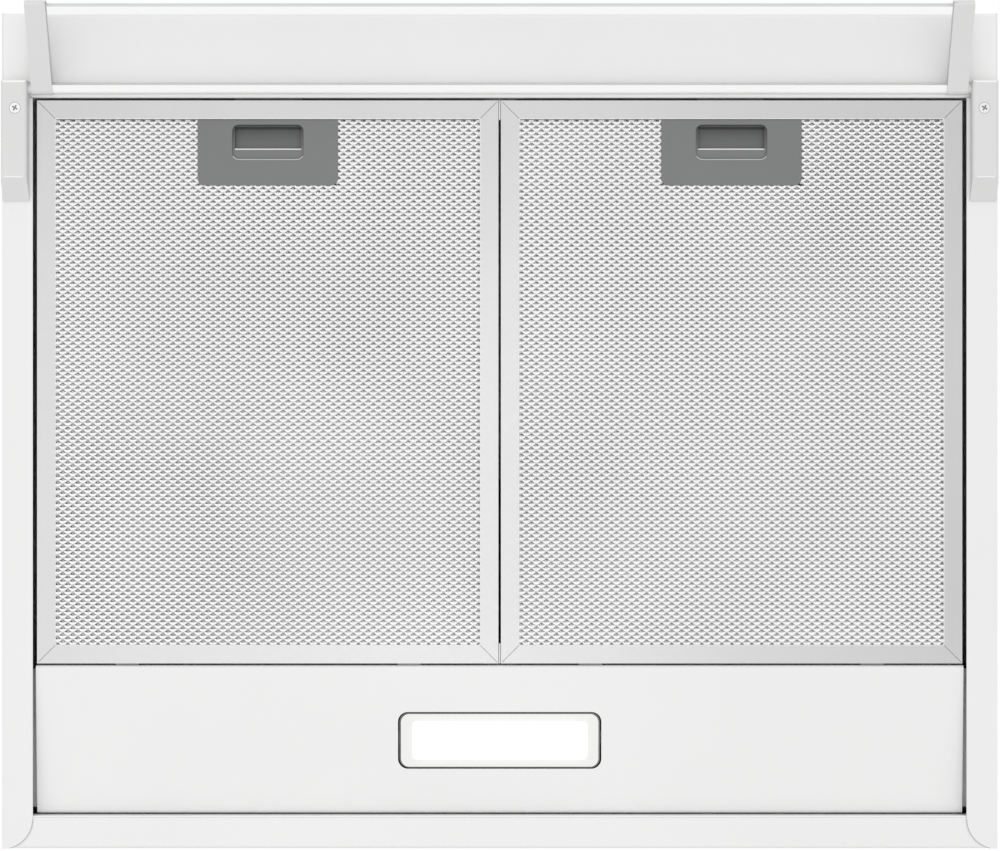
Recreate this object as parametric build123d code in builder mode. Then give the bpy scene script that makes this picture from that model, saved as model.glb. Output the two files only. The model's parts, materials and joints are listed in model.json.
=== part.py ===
from build123d import *
import os
from math import asin, atan2, cos, degrees, radians, sin, tan

# Range hood for a 60 cm wall cabinet, with a tilting glass visor, two grease
# filters that swing down, a lamp and a twin-wheel blower on one motor.
# Millimetres. +Z is up, +X is to the cook's right and the front faces -Y.
# The origin is on the axis of the duct collar, in the top face of the roof.

# Body shell
body_width = 598.0
body_depth = 502.0
body_height = 132.0
fascia_height = 58.0
roof_depth = 288.0
steel = 0.8
bend_radius = 2.0
roof_fold_radius = 6.0
seam_flange = 10.0
seam_play = 2.0
fascia_flange = 14.0
sheet_fit = 0.05
side_flange = 18.5
flange_corner_radius = 18.0
rear_strip = 19.8
rear_strip_lip = 8.0
front_box = 50.7
front_rail_height = 20.0
front_rail_lip = 8.0

# Duct collar and its draught flaps
duct_radius = 60.0
duct_length = 30.0
duct_wall = 2.0
duct_shoulder = 0.5
duct_shoulder_step = 1.5
duct_setback = 150.0
duct_flange = 8.0
duct_mouth_chamfer = 0.8
flap_wall = 1.2
flap_spine_radius = 1.6
flap_spine_offset = 2.6
flap_gap = 1.2
flap_seat_height = 2.0
flap_seat_width = 4.0
flap_seat_thickness = 1.5
flap_pivot_reach = 1.1
flap_rib_spacing = 24.0
flap_rib_length = 32.0
flap_rib_setback = 18.0
flap_rib_height = 1.0
seat_gap = 0.3
running_gap = 0.05

# Fixing holes
cabinet_hole_radius = 2.75
cabinet_hole_inset = 79.0
cabinet_hole_y = 100.0
keyhole_head_radius = 4.75
keyhole_slot_radius = 2.4
keyhole_rise = 9.0
keyhole_inset = 119.0
keyhole_z = -34.0
grommet_hole_radius = 8.0
grommet_inset = 109.0
grommet_y = 112.0
cable_radius = 4.5
grommet_depth = 4.0
grommet_lip = 2.5

# Grease filters
filter_height = 9.0
filter_gap = 1.5
filter_side_gap = 2.25
filter_front_gap = 1.5
filter_rear_gap = 1.1
filter_recess = 2.0
frame_rim = 10.8
frame_top_rim = 8.0
frame_sheet = 0.8
mitre_slit = 0.25
mitre_length = 14.0
mesh_sheet = 0.8
mesh_columns = 5
mesh_rows = 8
mesh_web = 4.5
mesh_border = 1.5
core_sheet = 0.5
core_waves = 24
core_gap = 0.3
core_inset = 1.0
tab_width = 14.0
tab_reach = 3.0
tab_sheet = 1.0
tab_rise = 2.6
tab_spread = 85.0
tab_slot_top = 4.9
guide_fin = 0.9
guide_length = 13.0
guide_plate = 1.0
guide_half = 9.0
guide_gap = 0.4
guide_fin_rise = 0.6
guide_fin_setback = 1.2

# Filter latch
latch_width = 84.5
latch_front = 60.0
latch_rear = 103.3
latch_height = 6.8
latch_skin = 1.2
latch_corner = 4.5
latch_fit = 0.15
window_width = 43.0
window_length = 21.0
window_front = 66.6
window_corner = 4.0
slider_width = 56.0
slider_front = 63.0
slider_rear = 89.0
slider_height = 3.6
latch_travel = 6.0
cavity_play = 1.0
scoop_inset = 0.9
scoop_length = 13.5
scoop_width = 40.0
scoop_slope = 1.5
scoop_skin = 0.6
pull_bar = 2.0
pocket_width = 13.2
pocket_floor = 0.8
tongue_width = 40.0
tongue_height = 2.0
tongue_rise = 0.7
tongue_chamfer = 0.8
spring_strip = 0.35
spring_folds = 4
spring_bend = 0.8
spring_side_gap = 1.2
spring_fit = 0.1
slide_gap = 0.3

# Lamp
lamp_rise = 4.8
lamp_panel_length = 89.7
lamp_side_gap = 1.5
lamp_panel_lip = 12.0
lamp_end_inset = 3.0
lamp_rear_gap = 0.6
lamp_setback = 45.5
lamp_hole_length = 122.5
lamp_hole_width = 34.5
lamp_hole_corner = 6.0
bezel_length = 119.0
bezel_width = 32.0
bezel_corner = 5.0
bezel_face = 2.0
skirt_inset = 2.0
lens_length = 105.0
lens_width = 23.0
lens_corner = 2.5
lens_recess = 0.4
lens_flange = 1.0
lens_fit = 0.1
lamp_depth = 10.0
lamp_wall = 1.5
lamp_ear_width = 9.0
lamp_ear_reach = 5.5
lamp_ear_lap = 1.0
lamp_post_inset = 10.0
lamp_post_width = 3.0
lamp_post_trim = 4.0
lamp_board_fit = 0.2
lamp_board_corner = 2.2
lamp_board_rise = 7.0
led_count = 10
led_pitch = 10.0
led_size = 3.5
led_height = 1.0

# Visor
visor_setback = 46.0
visor_drop = 4.0
visor_tilt = 27.0
visor_reach = 54.4
arm_inset = 19.0
arm_width = 12.4
arm_depth = 7.4
arm_tip_depth = 6.0
arm_tip_bevel = 1.5
glass_thickness = 4.0
glass_slot = 2.0
glass_gap = 0.05
glass_start = 0.8
glass_inset = 0.5
glass_end_gap = 0.1
glass_side_gap = 0.2
glass_bevel = 0.5
rail_radius = 2.9
rail_lip = 0.4
lug_radius = 3.0
lug_reach = 4.4
pin_radius = 1.5
pin_reach = 5.0
pin_end_gap = 0.5
notch_gap = 0.4
notch_run = 6.0

# Hinge brackets
bracket_width = 15.7
bracket_inset = 1.0
bracket_front = 41.1
bracket_length = 71.8
bracket_height = 10.0
bracket_ramp = 13.6
bracket_toe = 1.2
bracket_round = 2.4
bracket_screw_setback = 58.1
bracket_screw_inset = 9.7
screw_head_radius = 3.3
screw_head_height = 2.0
screw_shank_radius = 1.6
screw_fit = 0.1
screw_point = 3.0
recess_length = 3.6
recess_width = 0.9
recess_depth = 1.2
recess_turn = 30.0

# Blower
fan_y = 68.0
fan_z = -55.0
wheel_radius = 40.0
blade_inner_radius = 32.5
blade_wall = 1.0
blade_count = 24
blade_lean = 16.0
blade_bulge = 1.6
blade_inset = 0.6
wheel_start = 40.0
wheel_end = 102.0
wheel_disc = 1.6
wheel_ring = 2.0
hub_radius = 9.0
hub_length = 16.0
shaft_radius = 4.0
shaft_reach = 64.0
shaft_chamfer = 0.6
hub_fit = 0.02
scroll_start_radius = 43.5
scroll_end_radius = 56.0
tongue_angle = -25.0
outflow_angle = 225.0
scroll_arcs = 3
casing_wall = 2.0
casing_half_width = 112.0
casing_rim = 3.5
casing_rim_width = 2.5
inlet_radius = 34.5
inlet_lip = 6.0
outlet_radius = 57.0
ear_length = 14.0
ear_width = 20.0
ear_x = 82.0
ear_root = 6.0
rear_ear_start = 8.0
rear_ear_length = 16.0
rear_ear_drop = 14.0
motor_radius = 34.0
motor_half_length = 32.0
motor_round = 6.0
motor_boss_radius = 11.0
motor_boss = 4.0
vent_count = 5
vent_length = 11.0
vent_width = 4.0
vent_depth = 3.0
cradle_wall = 2.6
cradle_half_width = 10.0
cradle_arm = 9.0
cradle_arm_angles = (20.0, 110.0, 200.0)

# Controls on the front face
knob_width = 6.6
knob_height = 9.0
knob_proud = 3.0
knob_corner = 1.5
knob_round = 1.0
knob_stem_width = 3.4
knob_stem_height = 2.4
knob_foot = 6.0
knob_foot_wall = 1.6
knob_z = -103.0
fan_knob_x = -10.3
fan_knob_travel = 24.0
light_knob_x = 38.8
light_knob_travel = 8.0
slot_gap = 0.4
control_length = 108.0
control_height = 30.0
control_depth = 12.0
control_wall = 1.6
control_x = 16.0
board_thickness = 1.6
board_gap = 0.1
switch_overhang = 6.0
switch_half_height = 5.0

# Electrical parts under the roof
box_wall = 1.8
box_corner = 3.0
lid_chamfer = 1.0
terminal_length = 70.0
terminal_width = 44.0
terminal_height = 26.0
terminal_inset = 87.0
terminal_y = 66.0
terminal_strip_rise = 4.0
terminal_strip_length = 46.0
terminal_strip_width = 14.0
driver_length = 62.0
driver_width = 30.0
driver_height = 18.0
driver_inset = 94.0
driver_y = 70.0
driver_round = 2.0
driver_ear = 9.0
driver_ear_width = 14.0
driver_ear_height = 2.0
capacitor_radius = 13.0
capacitor_length = 52.0
capacitor_inset = 99.0
capacitor_y = -20.0
capacitor_chamfer = 1.2
clip_wall = 1.2
clip_width = 12.0
clip_foot = 39.0
clip_mouth = 13.0

# Places worked out from the sizes
half_width = body_width / 2
inner_half = half_width - steel
rear_y = duct_setback
front_y = duct_setback - body_depth
roof_front_y = rear_y - roof_depth
floor_z = -body_height
fascia_top_z = fascia_height - body_height
slope = atan2(-fascia_top_z, roof_front_y - front_y)
opening_half = half_width - side_flange
box_back_y = front_y + front_box
strip_y = rear_y - rear_strip
strip_z = floor_z + steel
cabinet_hole_x = half_width - cabinet_hole_inset
keyhole_x = half_width - keyhole_inset
bracket_outer_x = half_width - bracket_inset
bracket_inner_x = bracket_outer_x - bracket_width
bracket_screw_x = half_width - bracket_screw_inset
arm_outer_x = half_width - arm_inset
grommet_x = grommet_inset - half_width
terminal_x = terminal_inset - half_width
capacitor_x = capacitor_inset - half_width
driver_x = half_width - driver_inset
filter_width = opening_half - filter_side_gap - filter_gap / 2
filter_front_y = box_back_y + filter_front_gap
lamp_rear_y = strip_y - lamp_rear_gap
lamp_front_y = lamp_rear_y - lamp_panel_length
filter_rear_y = lamp_front_y - filter_rear_gap
filter_length = filter_rear_y - filter_front_y

os.makedirs("parts", exist_ok=True)


def write_step(piece, name):
    """Label one finished piece and write it to its own file."""
    piece.part.label = name
    export_step(piece.part, f"parts/{name}.step")


def write_pair(right_piece, stem):
    """Write a right-hand piece and its mirror image on the left."""
    write_step(right_piece, f"{stem}_right")
    with BuildPart() as left_piece:
        mirror(right_piece.part, about=Plane.YZ)
    write_step(left_piece, f"{stem}_left")


def block(low, high, mode=Mode.ADD):
    """A box between two opposite corners."""
    middle = [(a + b) / 2 for a, b in zip(low, high)]
    size = [b - a for a, b in zip(low, high)]
    with Locations(tuple(middle)):
        Box(*size, mode=mode)


def parallel_path(path, distance):
    """The path shifted to its left by a distance, with mitred corners."""
    points = [Vector(*point) for point in path]
    runs = [(end - start).normalized() for start, end in zip(points, points[1:])]
    lefts = [Vector(-run.Y, run.X) for run in runs]
    shifted = [points[0] + lefts[0] * distance]
    for corner, before, after in zip(points[1:-1], lefts, lefts[1:]):
        shifted.append(corner + (before + after) * (distance / (1 + before.dot(after))))
    shifted.append(points[-1] + lefts[-1] * distance)
    return shifted


def folded_section(path, thickness, radius, plane=Plane.YZ):
    """Section of a folded sheet, its wall to the left of the path."""
    near = parallel_path(path, 0.0)
    far = parallel_path(path, thickness)
    far_radii = []
    for start, corner, end in zip(near, near[1:], near[2:]):
        turn = (corner - start).cross(end - corner).Z
        far_radii.append(radius - thickness if turn > 0 else radius + thickness)
    with BuildSketch(plane) as section:
        with BuildLine():
            FilletPolyline(*near, radius=radius)
            FilletPolyline(*far, radius=far_radii)
            Line(near[0], far[0])
            Line(near[-1], far[-1])
        make_face()
    return section.sketch


def yz_outline(points, x=0.0):
    """A straight-edged face in the YZ plane at the given X."""
    with BuildSketch(Plane.YZ.offset(x)) as outline:
        with BuildLine():
            Polyline(*points, close=True)
        make_face()
    return outline.sketch


# Roof: one sheet with the flat top and the slope down to the front
with BuildPart() as roof_panel:
    roof_path = [(rear_y, 0), (roof_front_y, 0), (front_y, fascia_top_z)]
    extrude(folded_section(roof_path, steel, roof_fold_radius), amount=inner_half - sheet_fit, both=True)
    with BuildSketch(Plane.XY.offset(-steel)):
        Circle(duct_radius + duct_shoulder_step + seat_gap)
        with GridLocations(2 * cabinet_hole_x, 2 * cabinet_hole_y, 2, 2):
            Circle(cabinet_hole_radius)
        with Locations((grommet_x, grommet_y)):
            Circle(grommet_hole_radius)
    extrude(amount=steel, mode=Mode.SUBTRACT)
write_step(roof_panel, "roof_panel")

# Front: slope flange, upright face, underside and the rail behind it, in one fold
fascia_corner_z = fascia_top_z - steel / cos(slope)
flange_start = (front_y + fascia_flange * cos(slope), fascia_corner_z + fascia_flange * sin(slope))
rail_top_z = floor_z + front_rail_height
filter_low_z = floor_z + filter_recess
tongue_low_z = filter_low_z + frame_sheet + latch_skin + tongue_rise
tongue_high_z = tongue_low_z + tongue_height
filter_x = (filter_gap + filter_width) / 2
fan_slot_x = fan_knob_x + fan_knob_travel / 2
light_slot_x = light_knob_x - light_knob_travel / 2
knob_slots = [(fan_slot_x, fan_knob_travel), (light_slot_x, light_knob_travel)]

with BuildPart() as front_fascia:
    fascia_path = [
        flange_start,
        (front_y, fascia_corner_z),
        (front_y, floor_z),
        (box_back_y, floor_z),
        (box_back_y, rail_top_z),
        (box_back_y - front_rail_lip, rail_top_z),
    ]
    extrude(folded_section(fascia_path, steel, bend_radius), amount=inner_half - sheet_fit, both=True)
    for middle_x, travel in knob_slots:
        slot_half = (knob_stem_width + travel) / 2 + slot_gap
        slot_rise = knob_stem_height / 2 + slot_gap
        block(
            (middle_x - slot_half, front_y - 1, knob_z - slot_rise),
            (middle_x + slot_half, front_y + steel + 1, knob_z + slot_rise),
            mode=Mode.SUBTRACT,
        )
    for side in (-1, 1):
        strike_half = tongue_width / 2 + slide_gap
        block(
            (side * filter_x - strike_half, box_back_y - steel - 1, tongue_low_z - slide_gap),
            (side * filter_x + strike_half, box_back_y + 1, tongue_high_z + slide_gap),
            mode=Mode.SUBTRACT,
        )
write_step(front_fascia, "front_fascia")

# Rear wall with the strip along its foot, a stiffening lip and two keyholes
with BuildPart() as rear_panel:
    rear_path = [
        (strip_y, strip_z + rear_strip_lip),
        (strip_y, strip_z),
        (rear_y, strip_z),
        (rear_y, -steel),
        (rear_y - seam_flange, -steel),
    ]
    extrude(folded_section(rear_path, steel, bend_radius), amount=inner_half - sheet_fit, both=True)
    with BuildSketch(Plane.XZ.offset(-rear_y)):
        for side in (-1, 1):
            with Locations((side * keyhole_x, keyhole_z)):
                Circle(keyhole_head_radius)
            with Locations((side * keyhole_x, keyhole_z + keyhole_rise / 2)):
                SlotCenterToCenter(keyhole_rise, 2 * keyhole_slot_radius, rotation=90)
    extrude(amount=2 * steel, both=True, mode=Mode.SUBTRACT)
write_step(rear_panel, "rear_panel")

# Side walls: a flat sheet with a flange under the roof, one up the rear and one along the foot
silhouette = [
    (rear_y, floor_z),
    (rear_y, 0),
    (roof_front_y, 0),
    (front_y, fascia_top_z),
    (front_y, floor_z),
]
foot_front_y = box_back_y + 2 * sheet_fit
with BuildPart() as side_panel:
    extrude(yz_outline(silhouette, inner_half), amount=steel)
    side_seam_x = inner_half - seam_flange
    under_roof = parallel_path(roof_path, steel)
    roof_seam = [
        (rear_y - seam_flange - seam_play, -steel),
        under_roof[1],
        under_roof[2] + (under_roof[1] - under_roof[2]).normalized() * 2 * fascia_flange,
    ]
    seam_plane = Plane.YZ.offset(side_seam_x)
    extrude(
        folded_section(roof_seam, steel, roof_fold_radius - steel, seam_plane),
        amount=seam_flange + steel / 2,
    )
    block(
        (side_seam_x, rear_y - 2 * steel, strip_z + rear_strip_lip + 2 * seam_play),
        (inner_half + steel / 2, rear_y - steel, -seam_flange - seam_play),
    )
    with BuildSketch(Plane.XY.offset(floor_z)):
        with BuildLine():
            Polyline(
                (half_width, rear_y),
                (half_width, foot_front_y),
                (opening_half, foot_front_y),
                (opening_half, rear_y - flange_corner_radius),
            )
            RadiusArc(
                (opening_half, rear_y - flange_corner_radius),
                (opening_half + flange_corner_radius, rear_y),
                flange_corner_radius,
            )
            Line((opening_half + flange_corner_radius, rear_y), (half_width, rear_y))
        make_face()
        with Locations((bracket_screw_x, front_y + bracket_screw_setback)):
            Circle(screw_shank_radius + screw_fit, mode=Mode.SUBTRACT)
    extrude(amount=steel)
write_pair(side_panel, "side_panel")

# Lamp panel: sheet that climbs towards the rear, with ends bent up and out to the side walls
lamp_front_z = filter_low_z
lamp_tilt = atan2(lamp_rise, lamp_panel_length)
lamp_half = opening_half - lamp_side_gap
lamp_foot_z = lamp_front_z + lamp_panel_lip
lamp_centre_y = lamp_front_y + lamp_setback
lamp_centre_z = lamp_front_z + (lamp_centre_y - lamp_front_y) * tan(lamp_tilt)
lamp_plane = Plane(
    origin=(0, lamp_centre_y, lamp_centre_z),
    x_dir=(1, 0, 0),
    z_dir=(0, -sin(lamp_tilt), cos(lamp_tilt)),
)

with BuildPart() as lamp_panel:
    lamp_path = [
        (lamp_front_y, lamp_foot_z),
        (lamp_front_y, lamp_front_z),
        (lamp_rear_y, lamp_front_z + lamp_rise),
        (lamp_rear_y, lamp_foot_z),
    ]
    extrude(folded_section(lamp_path, steel, bend_radius), amount=lamp_half, both=True)
    end_front_y = lamp_front_y + lamp_end_inset
    end_rear_y = lamp_rear_y - lamp_end_inset
    end_wall = [
        (end_front_y, lamp_front_z + (end_front_y - lamp_front_y) * tan(lamp_tilt) + steel / 2),
        (end_rear_y, lamp_front_z + (end_rear_y - lamp_front_y) * tan(lamp_tilt) + steel / 2),
        (end_rear_y, lamp_foot_z),
        (end_front_y, lamp_foot_z),
    ]
    for side in (-1, 1):
        extrude(yz_outline(end_wall, side * lamp_half), amount=-side * steel)
        foot_span = sorted((side * (lamp_half - steel), side * (inner_half - sheet_fit)))
        block((foot_span[0], end_front_y, lamp_foot_z - steel), (foot_span[1], end_rear_y, lamp_foot_z))
        for middle_x in (side * filter_x - tab_spread, side * filter_x + tab_spread):
            block(
                (middle_x - tab_width / 2 - slide_gap, lamp_front_y - 1, lamp_front_z + tab_rise - slide_gap),
                (middle_x + tab_width / 2 + slide_gap, lamp_front_y + steel + 1, lamp_front_z + tab_slot_top),
                mode=Mode.SUBTRACT,
            )
    with BuildSketch(lamp_plane):
        RectangleRounded(lamp_hole_length, lamp_hole_width, lamp_hole_corner)
    extrude(amount=3 * steel, both=True, mode=Mode.SUBTRACT)
write_step(lamp_panel, "lamp_panel")

# Lamp: bezel with a skirt, lens behind its window, board with its diodes, and the back cover
skirt_length = bezel_length - 2 * skirt_inset
skirt_width = bezel_width - 2 * skirt_inset
skirt_corner = bezel_corner - skirt_inset
board_length = skirt_length - 2 * (lamp_wall + lamp_board_fit)
board_width = skirt_width - 2 * (lamp_wall + lamp_board_fit)
with BuildPart() as lamp_bezel:
    with BuildSketch(lamp_plane):
        RectangleRounded(bezel_length, bezel_width, bezel_corner)
        RectangleRounded(lens_length, lens_width, lens_corner, mode=Mode.SUBTRACT)
    extrude(amount=bezel_face)
    with BuildSketch(lamp_plane.offset(bezel_face)):
        RectangleRounded(skirt_length, skirt_width, skirt_corner)
        inner_corner = skirt_corner - lamp_wall / 2
        RectangleRounded(skirt_length - 2 * lamp_wall, skirt_width - 2 * lamp_wall, inner_corner, mode=Mode.SUBTRACT)
    extrude(amount=lamp_depth - bezel_face)
write_step(lamp_bezel, "lamp_bezel")

with BuildPart() as lamp_lens:
    with BuildSketch(lamp_plane.offset(lens_recess)):
        RectangleRounded(lens_length - 2 * lens_fit, lens_width - 2 * lens_fit, lens_corner)
    extrude(amount=bezel_face - lens_recess)
    with BuildSketch(lamp_plane.offset(bezel_face)):
        RectangleRounded(board_length, board_width, lamp_board_corner)
    extrude(amount=lens_flange)
write_step(lamp_lens, "lamp_lens")

with BuildPart() as led_board:
    with BuildSketch(lamp_plane.offset(lamp_board_rise)):
        RectangleRounded(board_length, board_width, lamp_board_corner)
    extrude(amount=board_thickness)
    with BuildSketch(lamp_plane.offset(lamp_board_rise)):
        with GridLocations(led_pitch, 1, led_count, 1):
            Rectangle(led_size, led_size)
    extrude(amount=-led_height)
write_step(led_board, "led_board")

with BuildPart() as lamp_housing:
    with BuildSketch(lamp_plane.offset(lamp_depth)):
        RectangleRounded(skirt_length, skirt_width, skirt_corner)
    extrude(amount=lamp_wall)
    with BuildSketch(lamp_plane.offset(lamp_board_rise + board_thickness)):
        with GridLocations(skirt_length - 2 * lamp_post_inset, 1, 2, 1):
            Rectangle(lamp_post_width, skirt_width - 2 * lamp_post_trim)
    extrude(amount=lamp_depth - lamp_board_rise - board_thickness)
    with BuildSketch(lamp_plane.offset(steel)):
        for side in (-1, 1):
            ear_middle = side * (lamp_hole_length / 2 + lamp_ear_reach / 2)
            with Locations((ear_middle, 0)):
                Rectangle(lamp_ear_reach, lamp_ear_width)
    extrude(amount=lamp_depth + lamp_wall - steel)
    with BuildSketch(lamp_plane.offset(lamp_depth)):
        for side in (-1, 1):
            bridge_start = skirt_length / 2 - lamp_ear_lap
            bridge_end = lamp_hole_length / 2 + lamp_ear_lap
            with Locations((side * (bridge_start + bridge_end) / 2, 0)):
                Rectangle(bridge_end - bridge_start, lamp_ear_width)
    extrude(amount=lamp_wall)
write_step(lamp_housing, "lamp_housing")

# Filter frame: rolled channel folded round the mesh, with mitred rims, a latch mouth and two rear tabs
filter_middle_y = (filter_front_y + filter_rear_y) / 2
filter_high_z = filter_low_z + filter_height
inside_width = filter_width - 2 * frame_sheet
inside_length = filter_length - 2 * frame_sheet
mesh_low_z = filter_low_z + frame_sheet
mesh_high_z = mesh_low_z + mesh_sheet
latch_low_z = mesh_low_z
latch_high_z = latch_low_z + latch_height
latch_front_y = front_y + latch_front
latch_rear_y = front_y + latch_rear
latch_mouth_half = tongue_width / 2 + slide_gap

with BuildPart() as filter_frame:
    with BuildSketch(Plane.XY.offset(filter_low_z)):
        with Locations((filter_x, filter_middle_y)):
            Rectangle(filter_width, filter_length)
    extrude(amount=filter_height)
    with BuildSketch(Plane.XY.offset(filter_low_z + frame_sheet)):
        with Locations((filter_x, filter_middle_y)):
            Rectangle(inside_width, inside_length)
    extrude(amount=filter_height - 2 * frame_sheet, mode=Mode.SUBTRACT)
    with BuildSketch(Plane.XY.offset(filter_low_z)):
        with Locations((filter_x, filter_middle_y)):
            Rectangle(filter_width - 2 * frame_rim, filter_length - 2 * frame_rim)
    extrude(amount=frame_sheet, mode=Mode.SUBTRACT)
    with BuildSketch(Plane.XY.offset(filter_high_z)):
        with Locations((filter_x, filter_middle_y)):
            Rectangle(filter_width - 2 * frame_top_rim, filter_length - 2 * frame_top_rim)
    extrude(amount=-frame_sheet, mode=Mode.SUBTRACT)
    with BuildSketch(Plane.XY.offset(filter_low_z)):
        for end_x in (-1, 1):
            for end_y in (-1, 1):
                corner_x = filter_x + end_x * (filter_width - frame_rim - frame_sheet) / 2
                corner_y = filter_middle_y + end_y * (filter_length - frame_rim - frame_sheet) / 2
                with Locations((corner_x, corner_y)):
                    Rectangle(mitre_length, mitre_slit, rotation=45 * end_x * end_y)
    extrude(amount=frame_sheet / 2, mode=Mode.SUBTRACT)
    block(
        (filter_x - latch_mouth_half, filter_front_y - 1, tongue_low_z - slide_gap),
        (filter_x + latch_mouth_half, filter_front_y + frame_sheet + 1, tongue_high_z + slide_gap),
        mode=Mode.SUBTRACT,
    )
    for side in (-1, 1):
        tab_middle = filter_x + side * tab_spread
        block(
            (tab_middle - tab_width / 2, filter_rear_y - frame_sheet / 2, filter_low_z + tab_rise),
            (tab_middle + tab_width / 2, filter_rear_y + tab_reach, filter_low_z + tab_rise + tab_sheet),
        )
write_pair(filter_frame, "filter_frame")

# Filter mesh: expanded sheet with rows of staggered diamond openings
mesh_side_margin = frame_rim + mesh_border
mesh_pitch_x = (filter_width - 2 * mesh_side_margin) / mesh_columns
mesh_pitch_y = (filter_length - 2 * mesh_side_margin) / mesh_rows
with BuildPart() as filter_mesh:
    with BuildSketch(Plane.XY.offset(mesh_low_z)):
        with Locations((filter_x, filter_middle_y)):
            Rectangle(inside_width - 2 * sheet_fit, inside_length - 2 * sheet_fit)
        latch_cut_length = latch_rear_y + latch_fit - filter_front_y
        with Locations((filter_x, filter_front_y + latch_cut_length / 2)):
            Rectangle(latch_width + 2 * latch_fit, latch_cut_length, mode=Mode.SUBTRACT)
        with BuildSketch(mode=Mode.PRIVATE) as diamond:
            with BuildLine():
                Polyline(
                    ((mesh_pitch_x - mesh_web) / 2, 0),
                    (0, (mesh_pitch_y - mesh_web) / 2),
                    ((mesh_web - mesh_pitch_x) / 2, 0),
                    (0, (mesh_web - mesh_pitch_y) / 2),
                    close=True,
                )
            make_face()
        diamond_places = []
        for row in range(2 * mesh_rows - 1):
            shifted = row % 2
            for column in range(mesh_columns - shifted):
                place_x = filter_x + (column - (mesh_columns - 1 - shifted) / 2) * mesh_pitch_x
                place_y = filter_middle_y + (row / 2 - (mesh_rows - 1) / 2) * mesh_pitch_y
                near_latch = abs(place_x - filter_x) < (latch_width + mesh_pitch_x) / 2
                if not (near_latch and place_y < latch_rear_y + mesh_pitch_y / 2):
                    diamond_places.append((place_x, place_y))
        with Locations(*diamond_places):
            add(diamond.sketch, mode=Mode.SUBTRACT)
    extrude(amount=mesh_sheet)
diamond_total = 2 * len(diamond_places)
print(f"diamonds in both meshes: {diamond_total}")
write_pair(filter_mesh, "filter_mesh")

# Filter core: the corrugated layer that the grease collects on
core_low_z = mesh_high_z + core_gap
core_high_z = filter_high_z - frame_sheet - core_gap
core_half = inside_width / 2 - core_inset
wave_length = 2 * core_half / core_waves
with BuildPart() as filter_core:
    core_path = []
    for step in range(2 * core_waves + 1):
        crest_z = core_low_z if step % 2 == 0 else core_high_z - core_sheet
        core_path.append((filter_x - core_half + step * wave_length / 2, crest_z))
    return_path = [(x, z + core_sheet) for x, z in reversed(core_path)]
    with BuildSketch(Plane.XZ.offset(-(filter_front_y + frame_sheet + core_inset))):
        with BuildLine():
            Polyline(*core_path, *return_path, close=True)
        make_face()
    extrude(amount=-(inside_length - 2 * core_inset))
    block(
        (filter_x - latch_width / 2 - core_inset, filter_front_y, core_low_z - 1),
        (filter_x + latch_width / 2 + core_inset, latch_rear_y + core_inset, core_high_z + 1),
        mode=Mode.SUBTRACT,
    )
write_pair(filter_core, "filter_core")

# Latch housing: a shallow box with a finger window, held behind the front rim
window_front_y = front_y + window_front
window_middle_y = window_front_y + window_length / 2
latch_middle_y = (latch_front_y + latch_rear_y) / 2
latch_length = latch_rear_y - latch_front_y
slider_low_z = latch_low_z + latch_skin + slide_gap / 2
slider_high_z = slider_low_z + slider_height
slider_front_y = front_y + slider_front
slider_rear_y = front_y + slider_rear
cavity_rear_y = slider_rear_y + latch_travel + cavity_play
with BuildPart() as latch_housing:
    with BuildSketch(Plane.XY.offset(latch_low_z)):
        with Locations((filter_x, latch_middle_y)):
            Rectangle(latch_width, latch_length)
    extrude(amount=latch_height)
    rear_corners = latch_housing.edges().filter_by(Axis.Z).group_by(Axis.Y)[-1]
    fillet(rear_corners, radius=latch_corner)
    block(
        (filter_x - slider_width / 2 - slide_gap, latch_front_y - 1, latch_low_z + latch_skin),
        (filter_x + slider_width / 2 + slide_gap, cavity_rear_y, slider_high_z + slide_gap / 2),
        mode=Mode.SUBTRACT,
    )
    with BuildSketch(Plane.XY.offset(latch_low_z)):
        with Locations((filter_x, window_middle_y)):
            RectangleRounded(window_width, window_length, window_corner)
    extrude(amount=latch_skin, mode=Mode.SUBTRACT)
write_pair(latch_housing, "latch_housing")

# Latch slider: tongue, finger scoop and pull bar, with a pocket for its spring
scoop_front_y = window_front_y + scoop_inset
scoop_rear_y = scoop_front_y + scoop_length
tongue_tip_y = box_back_y + slide_gap
pocket_front_y = scoop_rear_y + pull_bar
with BuildPart() as latch_slider:
    block(
        (filter_x - slider_width / 2, slider_front_y, slider_low_z),
        (filter_x + slider_width / 2, slider_rear_y, slider_high_z),
    )
    block(
        (filter_x - tongue_width / 2, tongue_tip_y, tongue_low_z),
        (filter_x + tongue_width / 2, slider_front_y + 1, tongue_high_z),
    )
    tongue_nose = latch_slider.edges().filter_by(Axis.X).group_by(Axis.Y)[0].sort_by(Axis.Z)[-1]
    chamfer(tongue_nose, length=tongue_chamfer)
    scoop_ceiling = slider_high_z - scoop_skin
    scoop_outline = [
        (scoop_front_y, slider_low_z - 1),
        (scoop_front_y + scoop_slope, scoop_ceiling),
        (scoop_rear_y, scoop_ceiling),
        (scoop_rear_y, slider_low_z - 1),
    ]
    extrude(yz_outline(scoop_outline, filter_x), amount=scoop_width / 2, both=True, mode=Mode.SUBTRACT)
    block(
        (filter_x - pocket_width / 2, pocket_front_y, slider_low_z + pocket_floor),
        (filter_x + pocket_width / 2, slider_rear_y + 1, slider_high_z + 1),
        mode=Mode.SUBTRACT,
    )
write_pair(latch_slider, "latch_slider")

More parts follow.
